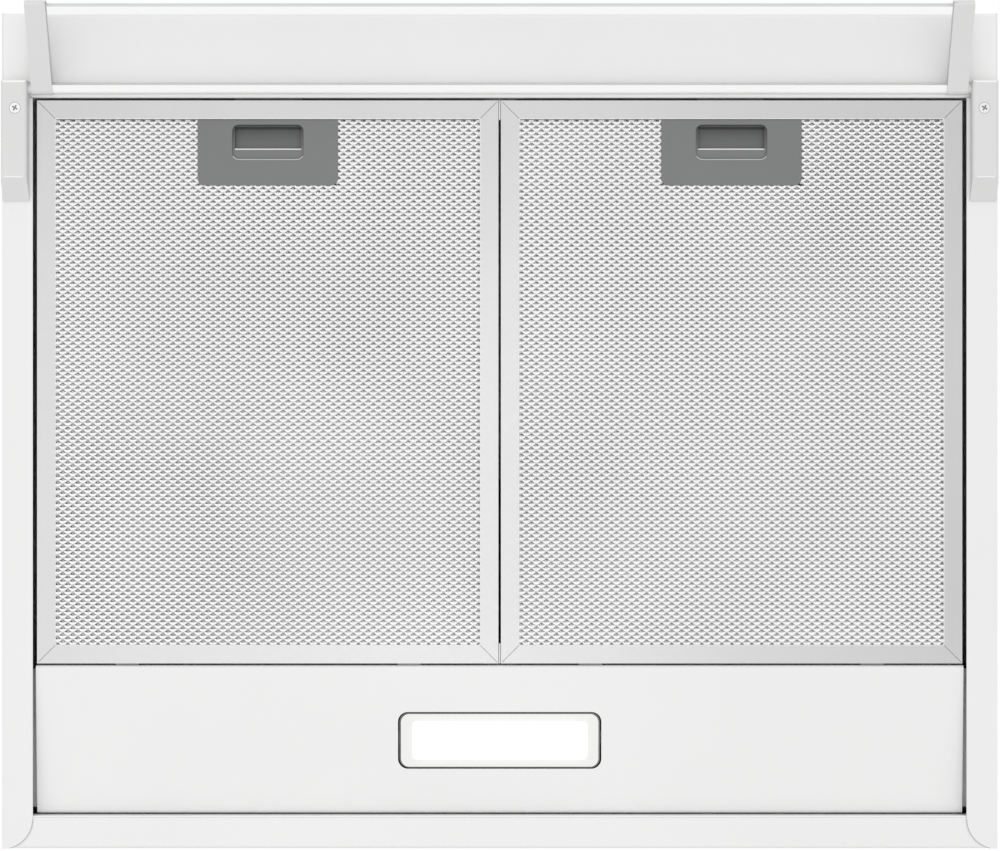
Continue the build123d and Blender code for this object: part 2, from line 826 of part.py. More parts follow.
# Latch spring: strip folded to and fro between the pull bar and the housing's end
spring_front_y = pocket_front_y + spring_fit
spring_rear_y = cavity_rear_y - spring_fit
spring_swing = pocket_width / 2 - spring_side_gap
with BuildPart() as latch_spring:
    fold_step = (spring_rear_y - spring_front_y - spring_strip) / spring_folds
    zigzag = []
    for fold in range(spring_folds + 1):
        swing = spring_swing if fold % 2 else -spring_swing
        zigzag.append((filter_x + swing, spring_front_y + fold * fold_step))
    spring_plane = Plane.XY.offset(slider_low_z + pocket_floor + spring_fit)
    spring_height = slider_height - pocket_floor - slide_gap
    extrude(folded_section(zigzag, spring_strip, spring_bend, spring_plane), amount=spring_height)
write_pair(latch_spring, "latch_spring")

# Guides that keep the two filters apart: a plate over the frames and a fin down the gap
guide_z = filter_high_z + guide_gap
with BuildPart() as centre_guide_front:
    block(
        (-guide_half, box_back_y, guide_z),
        (guide_half, box_back_y + guide_length, guide_z + guide_plate),
    )
    block(
        (-guide_fin / 2, box_back_y + filter_front_gap, filter_low_z + guide_fin_rise),
        (guide_fin / 2, box_back_y + guide_length, guide_z),
    )
write_step(centre_guide_front, "centre_guide_front")
with BuildPart() as centre_guide_rear:
    block(
        (-guide_half, lamp_front_y - guide_length, guide_z),
        (guide_half, lamp_front_y, guide_z + guide_plate),
    )
    block(
        (-guide_fin / 2, lamp_front_y - guide_length, filter_low_z + guide_fin_rise),
        (guide_fin / 2, lamp_front_y - guide_fin_setback, guide_z),
    )
write_step(centre_guide_rear, "centre_guide_rear")

# Hinge bracket: block under the flange with a long ramp, a notch for the visor's lug and a screw
visor_y = front_y + visor_setback
visor_z = floor_z - visor_drop
bracket_y = front_y + bracket_front
bracket_rear_y = bracket_y + bracket_length
bracket_low_z = floor_z - bracket_height
screw_y = front_y + bracket_screw_setback
notch_radius = lug_radius + notch_gap
notch_depth = lug_reach - (bracket_inner_x - arm_outer_x) + slide_gap
with BuildPart() as hinge_bracket:
    bracket_outline = [
        (bracket_y, floor_z),
        (bracket_y, bracket_low_z),
        (bracket_rear_y - bracket_ramp, bracket_low_z),
        (bracket_rear_y, floor_z - bracket_toe),
        (bracket_rear_y, floor_z),
    ]
    extrude(yz_outline(bracket_outline, bracket_inner_x), amount=bracket_outer_x - bracket_inner_x)
    foot_edges = hinge_bracket.edges().filter_by(Axis.Y).group_by(Axis.Z)[0]
    front_edge = hinge_bracket.edges().filter_by(Axis.X).group_by(Axis.Z)[0].sort_by(Axis.Y)[0]
    fillet([*foot_edges, front_edge], radius=bracket_round)
    with BuildSketch(Plane.YZ.offset(bracket_inner_x)):
        with Locations((visor_y, visor_z)):
            Circle(notch_radius)
        with Locations((visor_y - notch_run / 2, visor_z)):
            Rectangle(notch_run, 2 * notch_radius)
        with Locations((visor_y - notch_run, visor_z)):
            Circle(notch_radius)
    extrude(amount=notch_depth, mode=Mode.SUBTRACT)
    with BuildSketch(Plane.YZ.offset(bracket_inner_x)):
        with Locations((visor_y, visor_z)):
            Circle(pin_radius + running_gap)
    extrude(amount=notch_depth + pin_reach + pin_end_gap, mode=Mode.SUBTRACT)
    with BuildSketch(Plane.XY.offset(bracket_low_z)):
        with Locations((bracket_screw_x, screw_y)):
            Circle(screw_shank_radius + screw_fit)
    extrude(amount=bracket_height, mode=Mode.SUBTRACT)
    with BuildSketch(Plane.XY.offset(bracket_low_z)):
        with Locations((bracket_screw_x, screw_y)):
            Circle(screw_head_radius + screw_fit)
    extrude(amount=screw_head_height, mode=Mode.SUBTRACT)
write_pair(hinge_bracket, "hinge_bracket")

# Bracket screws: pan heads with a cross recess, flush with the bracket's face
with BuildPart() as bracket_screws:
    for side in (-1, 1):
        with BuildSketch(Plane.XY.offset(bracket_low_z)):
            with Locations((side * bracket_screw_x, screw_y)):
                Circle(screw_head_radius)
        extrude(amount=screw_head_height)
        with BuildSketch(Plane.XY.offset(bracket_low_z + screw_head_height)):
            with Locations((side * bracket_screw_x, screw_y)):
                Circle(screw_shank_radius)
        extrude(amount=bracket_height - screw_head_height + steel + screw_point)
        with BuildSketch(Plane.XY.offset(bracket_low_z)):
            with Locations((side * bracket_screw_x, screw_y)):
                Rectangle(recess_length, recess_width, rotation=recess_turn)
                Rectangle(recess_length, recess_width, rotation=recess_turn + 90)
        extrude(amount=recess_depth, mode=Mode.SUBTRACT)
write_step(bracket_screws, "bracket_screws")

# Visor: drawn level along its own plane, whose x runs out to the free edge
visor_plane = Plane(
    origin=(0, visor_y, visor_z),
    x_dir=(0, -cos(radians(visor_tilt)), -sin(radians(visor_tilt))),
    z_dir=(1, 0, 0),
)
arm_inner_x = arm_outer_x - arm_width
glass_end = visor_reach - glass_inset
glass_half = arm_inner_x + glass_slot - glass_side_gap
with BuildPart() as visor_arm:
    with BuildSketch(visor_plane.offset(arm_inner_x)):
        Circle(arm_depth / 2)
        with BuildLine():
            Polyline(
                (0, -arm_depth / 2),
                (visor_reach - arm_tip_bevel, -arm_tip_depth / 2),
                (visor_reach, arm_tip_bevel - arm_tip_depth / 2),
                (visor_reach, arm_tip_depth / 2 - arm_tip_bevel),
                (visor_reach - arm_tip_bevel, arm_tip_depth / 2),
                (0, arm_depth / 2),
                close=True,
            )
        make_face()
    extrude(amount=arm_width)
    with BuildSketch(visor_plane.offset(arm_inner_x)):
        slot_start = glass_start - slide_gap
        slot_end = glass_end + glass_end_gap
        with Locations(((slot_start + slot_end) / 2, 0)):
            Rectangle(slot_end - slot_start, glass_thickness + 2 * glass_gap)
    extrude(amount=glass_slot, mode=Mode.SUBTRACT)
    with BuildSketch(visor_plane.offset(arm_outer_x)):
        Circle(lug_radius)
    extrude(amount=lug_reach)
    with BuildSketch(visor_plane.offset(arm_outer_x + lug_reach)):
        Circle(pin_radius)
    extrude(amount=pin_reach)
write_pair(visor_arm, "visor_arm")

with BuildPart() as visor_glass:
    with BuildSketch(visor_plane):
        with Locations(((glass_start + glass_end) / 2, 0)):
            Rectangle(glass_end - glass_start, glass_thickness)
    extrude(amount=glass_half, both=True)
    free_edges = visor_glass.edges().filter_by(Axis.X).group_by(Axis.Y)[0]
    chamfer(free_edges, length=glass_bevel)
write_step(visor_glass, "visor_glass")

with BuildPart() as visor_rail:
    with BuildSketch(visor_plane):
        Circle(rail_radius)
        with Locations(((rail_radius + rail_lip) / 2, 0)):
            Rectangle(rail_radius + rail_lip, 2 * rail_radius)
        with Locations((glass_start + rail_radius, 0)):
            Rectangle(2 * rail_radius, glass_thickness + 2 * glass_gap, mode=Mode.SUBTRACT)
    extrude(amount=arm_inner_x - sheet_fit, both=True)
write_step(visor_rail, "visor_rail")

# Duct collar with its flange under the roof, a seat for the flaps and their pivot holes
collar_low_z = -steel - duct_wall
flap_z = flap_seat_height + flap_seat_thickness + seat_gap + flap_wall / 2
bore_radius = duct_radius - duct_wall
with BuildPart() as duct_spigot:
    with BuildSketch(Plane.XY.offset(collar_low_z)):
        Circle(duct_radius + duct_flange)
        Circle(bore_radius, mode=Mode.SUBTRACT)
    extrude(amount=duct_wall)
    with BuildSketch(Plane.XY.offset(-steel)):
        Circle(duct_radius + duct_shoulder_step)
        Circle(bore_radius, mode=Mode.SUBTRACT)
    extrude(amount=steel + duct_shoulder)
    with BuildSketch(Plane.XY.offset(duct_shoulder)):
        Circle(duct_radius)
        Circle(bore_radius, mode=Mode.SUBTRACT)
    extrude(amount=duct_length - duct_shoulder)
    with BuildSketch(Plane.XY.offset(flap_seat_height)):
        Circle(bore_radius)
        Circle(bore_radius - flap_seat_width, mode=Mode.SUBTRACT)
    extrude(amount=flap_seat_thickness)
    mouth_edge = duct_spigot.edges().filter_by(GeomType.CIRCLE).group_by(Axis.Z)[-1].sort_by(SortBy.RADIUS)[0]
    chamfer(mouth_edge, length=duct_mouth_chamfer)
    for side in (-1, 1):
        with BuildSketch(Plane.YZ):
            with Locations((side * flap_spine_offset, flap_z)):
                Circle(flap_spine_radius + running_gap)
        extrude(amount=bore_radius + flap_pivot_reach + seat_gap, both=True, mode=Mode.SUBTRACT)
write_step(duct_spigot, "duct_spigot")

# Draught flaps: half discs, each on a round spine that turns in the collar's wall
for flap_name, side in (("front", -1), ("rear", 1)):
    with BuildPart() as damper_flap:
        with BuildSketch(Plane.XY.offset(flap_z - flap_wall / 2)):
            Circle(bore_radius - flap_gap)
            with Locations((0, side * (flap_spine_offset - bore_radius))):
                Rectangle(2 * bore_radius, 2 * bore_radius, mode=Mode.SUBTRACT)
        extrude(amount=flap_wall)
        spine_half = bore_radius + flap_pivot_reach
        with BuildSketch(Plane.YZ):
            with Locations((side * flap_spine_offset, flap_z)):
                Circle(flap_spine_radius)
        extrude(amount=spine_half, both=True)
        with BuildSketch(Plane.XY.offset(flap_z)):
            with Locations((0, side * (flap_spine_offset + flap_rib_setback))):
                with GridLocations(flap_rib_spacing, 1, 3, 1):
                    Rectangle(flap_wall, flap_rib_length)
        extrude(amount=flap_wall / 2 + flap_rib_height)
    write_step(damper_flap, f"damper_flap_{flap_name}")

# Blower casing: scroll whose radius grows from the tongue round to the outflow
casing_inner_z = collar_low_z - casing_wall


def scroll_reach(angle):
    """Reach of the scroll's inner wall at an angle from straight up, turning to the rear."""
    share = (angle - tongue_angle) / (outflow_angle - tongue_angle)
    return scroll_start_radius + share * (scroll_end_radius - scroll_start_radius)


def scroll_point(angle, wall=0.0):
    """Point of the scroll at an angle, outside its inner wall by the given wall."""
    reach = scroll_reach(angle) + wall
    return (fan_y + reach * sin(radians(angle)), fan_z + reach * cos(radians(angle)))


def scroll_section(wall, top_z):
    """Section of the scroll and its slanting outflow, outside the inner wall by the given wall."""
    lip_y = scroll_point(tongue_angle)[0] + wall
    first_angle = degrees(asin((lip_y - fan_y) / (scroll_start_radius + wall)))
    outflow = scroll_point(outflow_angle, wall)
    outflow_run = (top_z - outflow[1]) / tan(radians(outflow_angle - 180))
    arc_span = (outflow_angle - first_angle) / scroll_arcs
    with BuildSketch(Plane.YZ) as section:
        with BuildLine():
            for arc in range(scroll_arcs):
                arc_start = first_angle + arc * arc_span
                ThreePointArc(
                    scroll_point(arc_start, wall),
                    scroll_point(arc_start + arc_span / 2, wall),
                    scroll_point(arc_start + arc_span, wall),
                )
            Polyline(
                outflow,
                (outflow[0] - outflow_run, top_z),
                (lip_y, top_z),
                scroll_point(first_angle, wall),
            )
        make_face()
    return section.sketch


tongue_point = scroll_point(tongue_angle)
scroll_inside = scroll_section(0.0, casing_inner_z)
scroll_outside = scroll_section(casing_wall, collar_low_z)
scroll_rim = scroll_section(casing_wall + casing_rim, casing_inner_z)
front_ear_y = scroll_outside.bounding_box().min.Y
with BuildPart() as blower_casing:
    extrude(scroll_outside, amount=casing_half_width)
    extrude(scroll_rim, amount=casing_rim_width)
    block(
        (ear_x, front_ear_y - ear_length, casing_inner_z),
        (ear_x + ear_width, front_ear_y + ear_root, -steel),
    )
    block(
        (ear_x, fan_y + rear_ear_start, casing_inner_z - rear_ear_drop),
        (ear_x + ear_width, fan_y + rear_ear_start + rear_ear_length, -steel),
    )
    extrude(scroll_inside, amount=casing_half_width - casing_wall, mode=Mode.SUBTRACT)
    with BuildSketch(Plane.YZ.offset(casing_half_width - casing_wall)):
        with Locations((fan_y, fan_z)):
            Circle(inlet_radius)
    extrude(amount=casing_wall, mode=Mode.SUBTRACT)
    with BuildSketch(Plane.YZ.offset(casing_half_width - casing_wall)):
        with Locations((fan_y, fan_z)):
            Circle(inlet_radius + casing_wall)
            Circle(inlet_radius, mode=Mode.SUBTRACT)
    extrude(amount=-inlet_lip)
    with BuildSketch(Plane.XY.offset(casing_inner_z)):
        Circle(outlet_radius)
        with Locations((0, tongue_point[0] + outlet_radius)):
            Rectangle(2 * outlet_radius, 2 * outlet_radius, mode=Mode.SUBTRACT)
    extrude(amount=casing_wall, mode=Mode.SUBTRACT)
    with BuildSketch(Plane.XY.offset(casing_inner_z)):
        with Locations((ear_x + ear_width / 2, front_ear_y - ear_length / 2)):
            Circle(screw_shank_radius + screw_fit)
    extrude(amount=-casing_inner_z, mode=Mode.SUBTRACT)
write_pair(blower_casing, "blower_casing")

# Screws that hold the casing's front ears up to the roof
with BuildPart() as casing_screws:
    for side in (-1, 1):
        ear_spot = (side * (ear_x + ear_width / 2), front_ear_y - ear_length / 2)
        with BuildSketch(Plane.XY.offset(casing_inner_z)):
            with Locations(ear_spot):
                Circle(screw_head_radius)
        extrude(amount=-screw_head_height)
        with BuildSketch(Plane.XY.offset(casing_inner_z)):
            with Locations(ear_spot):
                Circle(screw_shank_radius)
        extrude(amount=-casing_inner_z - steel)
write_step(casing_screws, "casing_screws")

# Motor: rounded can with bearing bosses and a ring of vents at each end
with BuildPart() as motor_body:
    with BuildSketch(Plane.YZ):
        with Locations((fan_y, fan_z)):
            Circle(motor_radius)
    extrude(amount=motor_half_length, both=True)
    chamfer(motor_body.edges().filter_by(GeomType.CIRCLE), length=motor_round)
    with BuildSketch(Plane.YZ):
        with Locations((fan_y, fan_z)):
            Circle(motor_boss_radius)
    extrude(amount=motor_half_length + motor_boss, both=True)
    with BuildSketch(Plane.YZ):
        with Locations((fan_y, fan_z)):
            Circle(shaft_radius + running_gap)
    extrude(amount=motor_half_length + motor_boss + 1, both=True, mode=Mode.SUBTRACT)
    vent_radius = (motor_boss_radius + motor_radius - motor_round) / 2
    for side in (-1, 1):
        with BuildSketch(Plane.YZ.offset(side * motor_half_length)):
            with Locations((fan_y, fan_z)):
                with PolarLocations(vent_radius, vent_count):
                    Rectangle(vent_length, vent_width)
        extrude(amount=-side * vent_depth, mode=Mode.SUBTRACT)
write_step(motor_body, "motor_body")

# Motor cradle: band round the can on three arms that reach the casing's wall
with BuildPart() as motor_cradle:
    with BuildSketch(Plane.YZ):
        with Locations((fan_y, fan_z)):
            Circle(motor_radius + cradle_wall)
        for arm_angle in cradle_arm_angles:
            with Locations((fan_y, fan_z)):
                with Locations(Location((0, 0, 0), (0, 0, 90 - arm_angle))):
                    with Locations((scroll_end_radius / 2, 0)):
                        Rectangle(scroll_end_radius, cradle_arm)
        with Locations((fan_y, fan_z)):
            Circle(motor_radius + running_gap, mode=Mode.SUBTRACT)
    extrude(amount=cradle_half_width, both=True)
    extrude(scroll_inside, amount=cradle_half_width, both=True, mode=Mode.INTERSECT)
write_step(motor_cradle, "motor_cradle")

# Motor shaft
with BuildPart() as motor_shaft:
    with BuildSketch(Plane.YZ):
        with Locations((fan_y, fan_z)):
            Circle(shaft_radius)
    extrude(amount=shaft_reach, both=True)
    chamfer(motor_shaft.edges().filter_by(GeomType.CIRCLE), length=shaft_chamfer)
write_step(motor_shaft, "motor_shaft")


def blade_point(reach, angle):
    """Point of a blade by its reach from the wheel's axis and its angle, forwards in the spin."""
    return (reach * sin(radians(angle)), reach * cos(radians(angle)))


# Fan wheel: driven disc, hub, forward-curved blades and an end ring
blade_outer_radius = wheel_radius - blade_inset
blade_half_angle = degrees(blade_wall / 2 / blade_inner_radius)
blade_mid_radius = (blade_inner_radius + blade_outer_radius) / 2
blade_mid_angle = blade_lean / 2 - degrees(blade_bulge / blade_mid_radius)
with BuildSketch() as blade_profile:
    with BuildLine():
        back = ThreePointArc(
            blade_point(blade_inner_radius, -blade_half_angle),
            blade_point(blade_mid_radius, blade_mid_angle - blade_half_angle),
            blade_point(blade_outer_radius, blade_lean - blade_half_angle),
        )
        face = ThreePointArc(
            blade_point(blade_inner_radius, blade_half_angle),
            blade_point(blade_mid_radius, blade_mid_angle + blade_half_angle),
            blade_point(blade_outer_radius, blade_lean + blade_half_angle),
        )
        Line(back @ 0, face @ 0)
        Line(back @ 1, face @ 1)
    make_face()
with BuildPart() as fan_wheel:
    with BuildSketch(Plane.YZ.offset(wheel_start)):
        with Locations((fan_y, fan_z)):
            Circle(wheel_radius)
    extrude(amount=wheel_disc)
    with BuildSketch(Plane.YZ.offset(wheel_start)):
        with Locations((fan_y, fan_z)):
            Circle(hub_radius)
    extrude(amount=hub_length)
    with BuildSketch(Plane.YZ.offset(wheel_start + wheel_disc)):
        with Locations((fan_y, fan_z)):
            with PolarLocations(0, blade_count):
                add(blade_profile.sketch)
    extrude(amount=wheel_end - wheel_start - wheel_disc)
    with BuildSketch(Plane.YZ.offset(wheel_end - wheel_ring)):
        with Locations((fan_y, fan_z)):
            Circle(wheel_radius)
            Circle((blade_inner_radius + blade_outer_radius) / 2, mode=Mode.SUBTRACT)
    extrude(amount=wheel_ring)
    with BuildSketch(Plane.YZ.offset(wheel_start)):
        with Locations((fan_y, fan_z)):
            Circle(shaft_radius + hub_fit)
    extrude(amount=hub_length, mode=Mode.SUBTRACT)
write_pair(fan_wheel, "fan_wheel")

# Slider knobs: cap, stem through the front face and a foot that keeps the knob in
for knob_name, knob_x in (("fan_slider_knob", fan_knob_x), ("light_slider_knob", light_knob_x)):
    with BuildPart() as slider_knob:
        with BuildSketch(Plane.XZ.offset(-(front_y - seat_gap))):
            with Locations((knob_x, knob_z)):
                RectangleRounded(knob_width, knob_height, knob_corner)
        extrude(amount=knob_proud - seat_gap)
        outer_face = slider_knob.faces().sort_by(Axis.Y)[0]
        fillet(outer_face.edges(), radius=knob_round)
        stem_end_y = front_y + steel + control_wall + seat_gap
        block(
            (knob_x - knob_stem_width / 2, front_y - seat_gap, knob_z - knob_stem_height / 2),
            (knob_x + knob_stem_width / 2, stem_end_y, knob_z + knob_stem_height / 2),
        )
        block(
            (knob_x - knob_foot / 2, stem_end_y, knob_z - knob_foot / 2),
            (knob_x + knob_foot / 2, stem_end_y + knob_foot_wall, knob_z + knob_foot / 2),
        )
    write_step(slider_knob, knob_name)

# Control housing behind the front face, and the board that closes it
control_front_y = front_y + steel
control_rear_y = control_front_y + control_depth
with BuildPart() as control_housing:
    block(
        (control_x - control_length / 2, control_front_y, knob_z - control_height / 2),
        (control_x + control_length / 2, control_rear_y, knob_z + control_height / 2),
    )
    block(
        (
            control_x - control_length / 2 + control_wall,
            control_front_y + control_wall,
            knob_z - control_height / 2 + control_wall,
        ),
        (
            control_x + control_length / 2 - control_wall,
            control_rear_y + 1,
            knob_z + control_height / 2 - control_wall,
        ),
        mode=Mode.SUBTRACT,
    )
    for middle_x, travel in knob_slots:
        slot_half = (knob_stem_width + travel) / 2 + slot_gap
        slot_rise = knob_stem_height / 2 + slot_gap
        block(
            (middle_x - slot_half, control_front_y - 1, knob_z - slot_rise),
            (middle_x + slot_half, control_front_y + control_wall + 1, knob_z + slot_rise),
            mode=Mode.SUBTRACT,
        )
write_step(control_housing, "control_housing")

with BuildPart() as switch_board:
    board_y = control_rear_y - board_thickness
    board_half_length = control_length / 2 - control_wall - board_gap
    board_half_height = control_height / 2 - control_wall - board_gap
    block(
        (control_x - board_half_length, board_y, knob_z - board_half_height),
        (control_x + board_half_length, control_rear_y, knob_z + board_half_height),
    )
    switch_front_y = stem_end_y + knob_foot_wall + seat_gap
    for middle_x, travel in knob_slots:
        block(
            (middle_x - travel / 2 - switch_overhang, switch_front_y, knob_z - switch_half_height),
            (middle_x + travel / 2 + switch_overhang, board_y, knob_z + switch_half_height),
        )
write_step(switch_board, "switch_board")

# Terminal box and its lid
roof_under_z = -steel
with BuildPart() as terminal_box:
    block(
        (terminal_x - terminal_length / 2, terminal_y - terminal_width / 2, roof_under_z - terminal_height),
        (terminal_x + terminal_length / 2, terminal_y + terminal_width / 2, roof_under_z),
    )
    fillet(terminal_box.edges().filter_by(Axis.Z), radius=box_corner)
    block(
        (
            terminal_x - terminal_length / 2 + box_wall,
            terminal_y - terminal_width / 2 + box_wall,
            roof_under_z - terminal_height - 1,
        ),
        (
            terminal_x + terminal_length / 2 - box_wall,
            terminal_y + terminal_width / 2 - box_wall,
            roof_under_z - box_wall,
        ),
        mode=Mode.SUBTRACT,
    )
    with BuildSketch(Plane.XY.offset(roof_under_z - terminal_height + terminal_strip_rise)):
        with Locations((terminal_x, terminal_y)):
            Rectangle(terminal_strip_length, terminal_strip_width)
    extrude(amount=terminal_height - terminal_strip_rise)
write_step(terminal_box, "terminal_box")

with BuildPart() as terminal_lid:
    with BuildSketch(Plane.XY.offset(roof_under_z - terminal_height)):
        with Locations((terminal_x, terminal_y)):
            RectangleRounded(terminal_length, terminal_width, box_corner)
    extrude(amount=-box_wall)
    chamfer(terminal_lid.faces().sort_by(Axis.Z)[0].edges(), length=lid_chamfer)
write_step(terminal_lid, "terminal_lid")

# Cable grommet in the roof
with BuildPart() as cable_grommet:
    with BuildSketch(Plane(origin=(grommet_x, grommet_y, 0), x_dir=(1, 0, 0), z_dir=(0, -1, 0))):
        with BuildLine():
            Polyline(
                (cable_radius, -grommet_depth),
                (grommet_hole_radius + grommet_lip, -grommet_depth),
                (grommet_hole_radius + grommet_lip, -steel - sheet_fit),
                (grommet_hole_radius - sheet_fit, -steel - sheet_fit),
                (grommet_hole_radius - sheet_fit, 0),
                (cable_radius, 0),
                close=True,
            )
        make_face()
    revolve(axis=Axis((grommet_x, grommet_y, 0), (0, 0, 1)))
write_step(cable_grommet, "cable_grommet")

# Lamp driver
driver_reach = driver_length / 2 + driver_ear
with BuildPart() as led_driver:
    block(
        (driver_x - driver_length / 2, driver_y - driver_width / 2, roof_under_z - driver_height),
        (driver_x + driver_length / 2, driver_y + driver_width / 2, roof_under_z),
    )
    fillet(led_driver.edges().group_by(Axis.Z)[0], radius=driver_round)
    block(
        (driver_x - driver_reach, driver_y - driver_ear_width / 2, roof_under_z - driver_ear_height),
        (driver_x + driver_reach, driver_y + driver_ear_width / 2, roof_under_z),
    )
write_step(led_driver, "led_driver")

# Motor capacitor and the clip that holds it to the roof
capacitor_z = roof_under_z - clip_wall - capacitor_radius
with BuildPart() as capacitor:
    with BuildSketch(Plane.YZ.offset(capacitor_x - capacitor_length / 2)):
        with Locations((capacitor_y, capacitor_z)):
            Circle(capacitor_radius)
    extrude(amount=capacitor_length)
    chamfer(capacitor.edges().filter_by(GeomType.CIRCLE), length=capacitor_chamfer)
write_step(capacitor, "capacitor")

with BuildPart() as capacitor_clip:
    with BuildSketch(Plane.YZ.offset(capacitor_x - clip_width / 2)):
        with Locations((capacitor_y, capacitor_z)):
            Circle(capacitor_radius + clip_wall)
        with Locations((capacitor_y, roof_under_z - clip_wall / 2)):
            Rectangle(clip_foot, clip_wall)
        with Locations((capacitor_y, capacitor_z)):
            Circle(capacitor_radius + hub_fit, mode=Mode.SUBTRACT)
        with Locations((capacitor_y, capacitor_z - capacitor_radius)):
            Rectangle(clip_mouth, capacitor_radius, mode=Mode.SUBTRACT)
    extrude(amount=clip_width)
write_step(capacitor_clip, "capacitor_clip")
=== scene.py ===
import bpy
import json
from math import cos, exp, pi, radians, sin
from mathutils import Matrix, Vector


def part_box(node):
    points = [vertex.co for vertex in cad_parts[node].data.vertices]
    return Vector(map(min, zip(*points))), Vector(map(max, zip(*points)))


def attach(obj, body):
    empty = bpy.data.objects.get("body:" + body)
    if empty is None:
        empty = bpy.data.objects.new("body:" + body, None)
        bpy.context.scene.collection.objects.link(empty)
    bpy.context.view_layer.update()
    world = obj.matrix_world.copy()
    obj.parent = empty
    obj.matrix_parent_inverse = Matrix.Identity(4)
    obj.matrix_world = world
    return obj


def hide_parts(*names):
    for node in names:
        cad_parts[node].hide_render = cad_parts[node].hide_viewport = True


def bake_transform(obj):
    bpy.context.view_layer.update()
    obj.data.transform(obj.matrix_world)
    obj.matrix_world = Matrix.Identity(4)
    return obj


# Range hood seen from straight below: white folded steel, two mesh filters, a lit lamp and a glass visor.
# Metres, in the CAD frame: +Z is up and the front faces -Y.

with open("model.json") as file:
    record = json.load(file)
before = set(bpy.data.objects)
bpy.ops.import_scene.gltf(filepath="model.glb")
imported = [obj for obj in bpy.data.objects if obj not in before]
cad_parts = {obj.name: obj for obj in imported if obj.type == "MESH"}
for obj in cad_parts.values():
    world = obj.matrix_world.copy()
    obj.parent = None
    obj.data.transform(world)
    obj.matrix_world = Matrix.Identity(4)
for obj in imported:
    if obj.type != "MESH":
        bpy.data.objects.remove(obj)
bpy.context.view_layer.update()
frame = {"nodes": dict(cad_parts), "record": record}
nodes = frame["nodes"]
slot_of = {part["node"]: part["material_slot"] for part in frame["record"]["subparts"]}
sides = ("left", "right")

# Camera
photo_distance = 1.5
photo_lens = 89.9
sensor_width = 36.0
flange_z = -0.132
view_centre = (0.0002, -0.1043)

# Lights
floor_z = -4.2
floor_size = 80.0
floor_glow = 0.24
panel_place = (-0.16, 0.03, -1.76)
panel_size = 0.9
panel_power = 1.7
plain_white = (1.0, 1.0, 1.0, 1.0)
warm_white = (1.0, 0.985, 0.95, 1.0)

# Surround: its strength from end to end of each direction, and how far out the change reaches
front_to_rear_below = (1.29, 1.12)
left_to_right_above = (0.94, 0.52)
front_to_rear_above = (1.0, 0.6)
side_to_zenith = (0.95, 1.65)
sky_reach = 0.8
zenith_range = (0.2, 0.95)
horizon_range = (-0.3, 0.15)

# Filters: frame, expanded metal and the bead round the opening
rim = 0.0108
tab_reach = 0.003
frame_sheet = 0.0008
mesh_tuck = 0.0015
latch_overlap = 0.001
latch_clear_front = 0.02
cell_length = 0.00603
cell_height = 0.00407
bright_crest = 0.17
edge_fall = 0.9
bead_radius = 0.0005
bead_corner = 0.0012
rim_seam_gap = 0.0005
tab_margin = 0.0001
slit_margin = 0.00005
slit_start = 0.001

# Fine lines: how far they stand from what they mark, and their radii
line_stand = 0.0001
thin_line = 0.0003
thick_line = 0.0004
ring_line = 0.00018
corner_line = 0.00035
line_spokes = 8

# Latches, measured from the front of the housing
scoop_start = 0.0066
scoop_length = 0.0146
lip_place = 0.0213
lip_half = 0.0199
lip_radius = 0.0005
lip_stand = 0.0001
window_rear = 0.0276
window_half = 0.0215
window_corner = 0.004

# Visor: the pivot's axis, its tilt at rest and the glass's free edge
pivot_y = -0.306
pivot_z = -0.136
visor_tilt = radians(27.0)
glass_edge_reach = 0.004
glass_setback = 0.0014
glass_arris = 0.0009
glass_half = 0.0018

# Visor rail: where the painted shade beside the glass starts and ends to fade, from the rail's front
rail_shade = (0.0016, 0.0028)

# Lamp: the panel's tilt and the rubber ring round the bezel
lamp_tilt = radians(3.06)
gasket_half = (0.0604, 0.01675)
gasket_inner_half = (0.0596, 0.0161)
gasket_corner = 0.0056
gasket_inner_corner = 0.0048
gasket_rise = 0.0006
gasket_depth = 0.0006

# Lamp light: where it starts and ends to fade, from the middle outwards, and its strength on the bezel
bezel_fade_x = (0.044, 0.056)
bezel_fade_y = (0.0112, 0.0155)
bezel_glow = 0.28
lens_fade = (0.0098, 0.0114)
lens_edge = 0.35

# Hinge brackets and their screws
ramp_length = 0.0136
bracket_round = 0.0024
screw_head = 0.0033
recess_start = 0.0002

# Body: the seam round each rear corner and the fold of the rear strip
flange_corner = 0.018
flange_inner_x = 0.2807
corner_seam_sink = 0.0003
corner_seam_end = 78
strip_half = 0.2803


def new_material(name):
    """An empty node material with a principled shader on its output."""
    material = bpy.data.materials.new(name)
    material.use_nodes = True
    tree = material.node_tree
    tree.nodes.clear()
    output = tree.nodes.new("ShaderNodeOutputMaterial")
    shader = tree.nodes.new("ShaderNodeBsdfPrincipled")
    tree.links.new(shader.outputs["BSDF"], output.inputs["Surface"])
    return material, tree, shader


def noise(tree, scale, stretch=(1.0, 1.0, 1.0), detail=3.0):
    """Noise fixed to the piece, with its grain stretched along an axis by a small factor on it."""
    place = tree.nodes.new("ShaderNodeTexCoord")
    mapping = tree.nodes.new("ShaderNodeMapping")
    mapping.inputs["Scale"].default_value = stretch
    texture = tree.nodes.new("ShaderNodeTexNoise")
    texture.inputs["Scale"].default_value = scale
    texture.inputs["Detail"].default_value = detail
    tree.links.new(place.outputs["Object"], mapping.inputs["Vector"])
    tree.links.new(mapping.outputs["Vector"], texture.inputs["Vector"])
    return texture.outputs["Fac"]


def place_along(tree, axis):
    """The piece's own coordinate along an axis."""
    place = tree.nodes.new("ShaderNodeTexCoord")
    parts = tree.nodes.new("ShaderNodeSeparateXYZ")
    tree.links.new(place.outputs["Object"], parts.inputs["Vector"])
    return parts.outputs[axis]


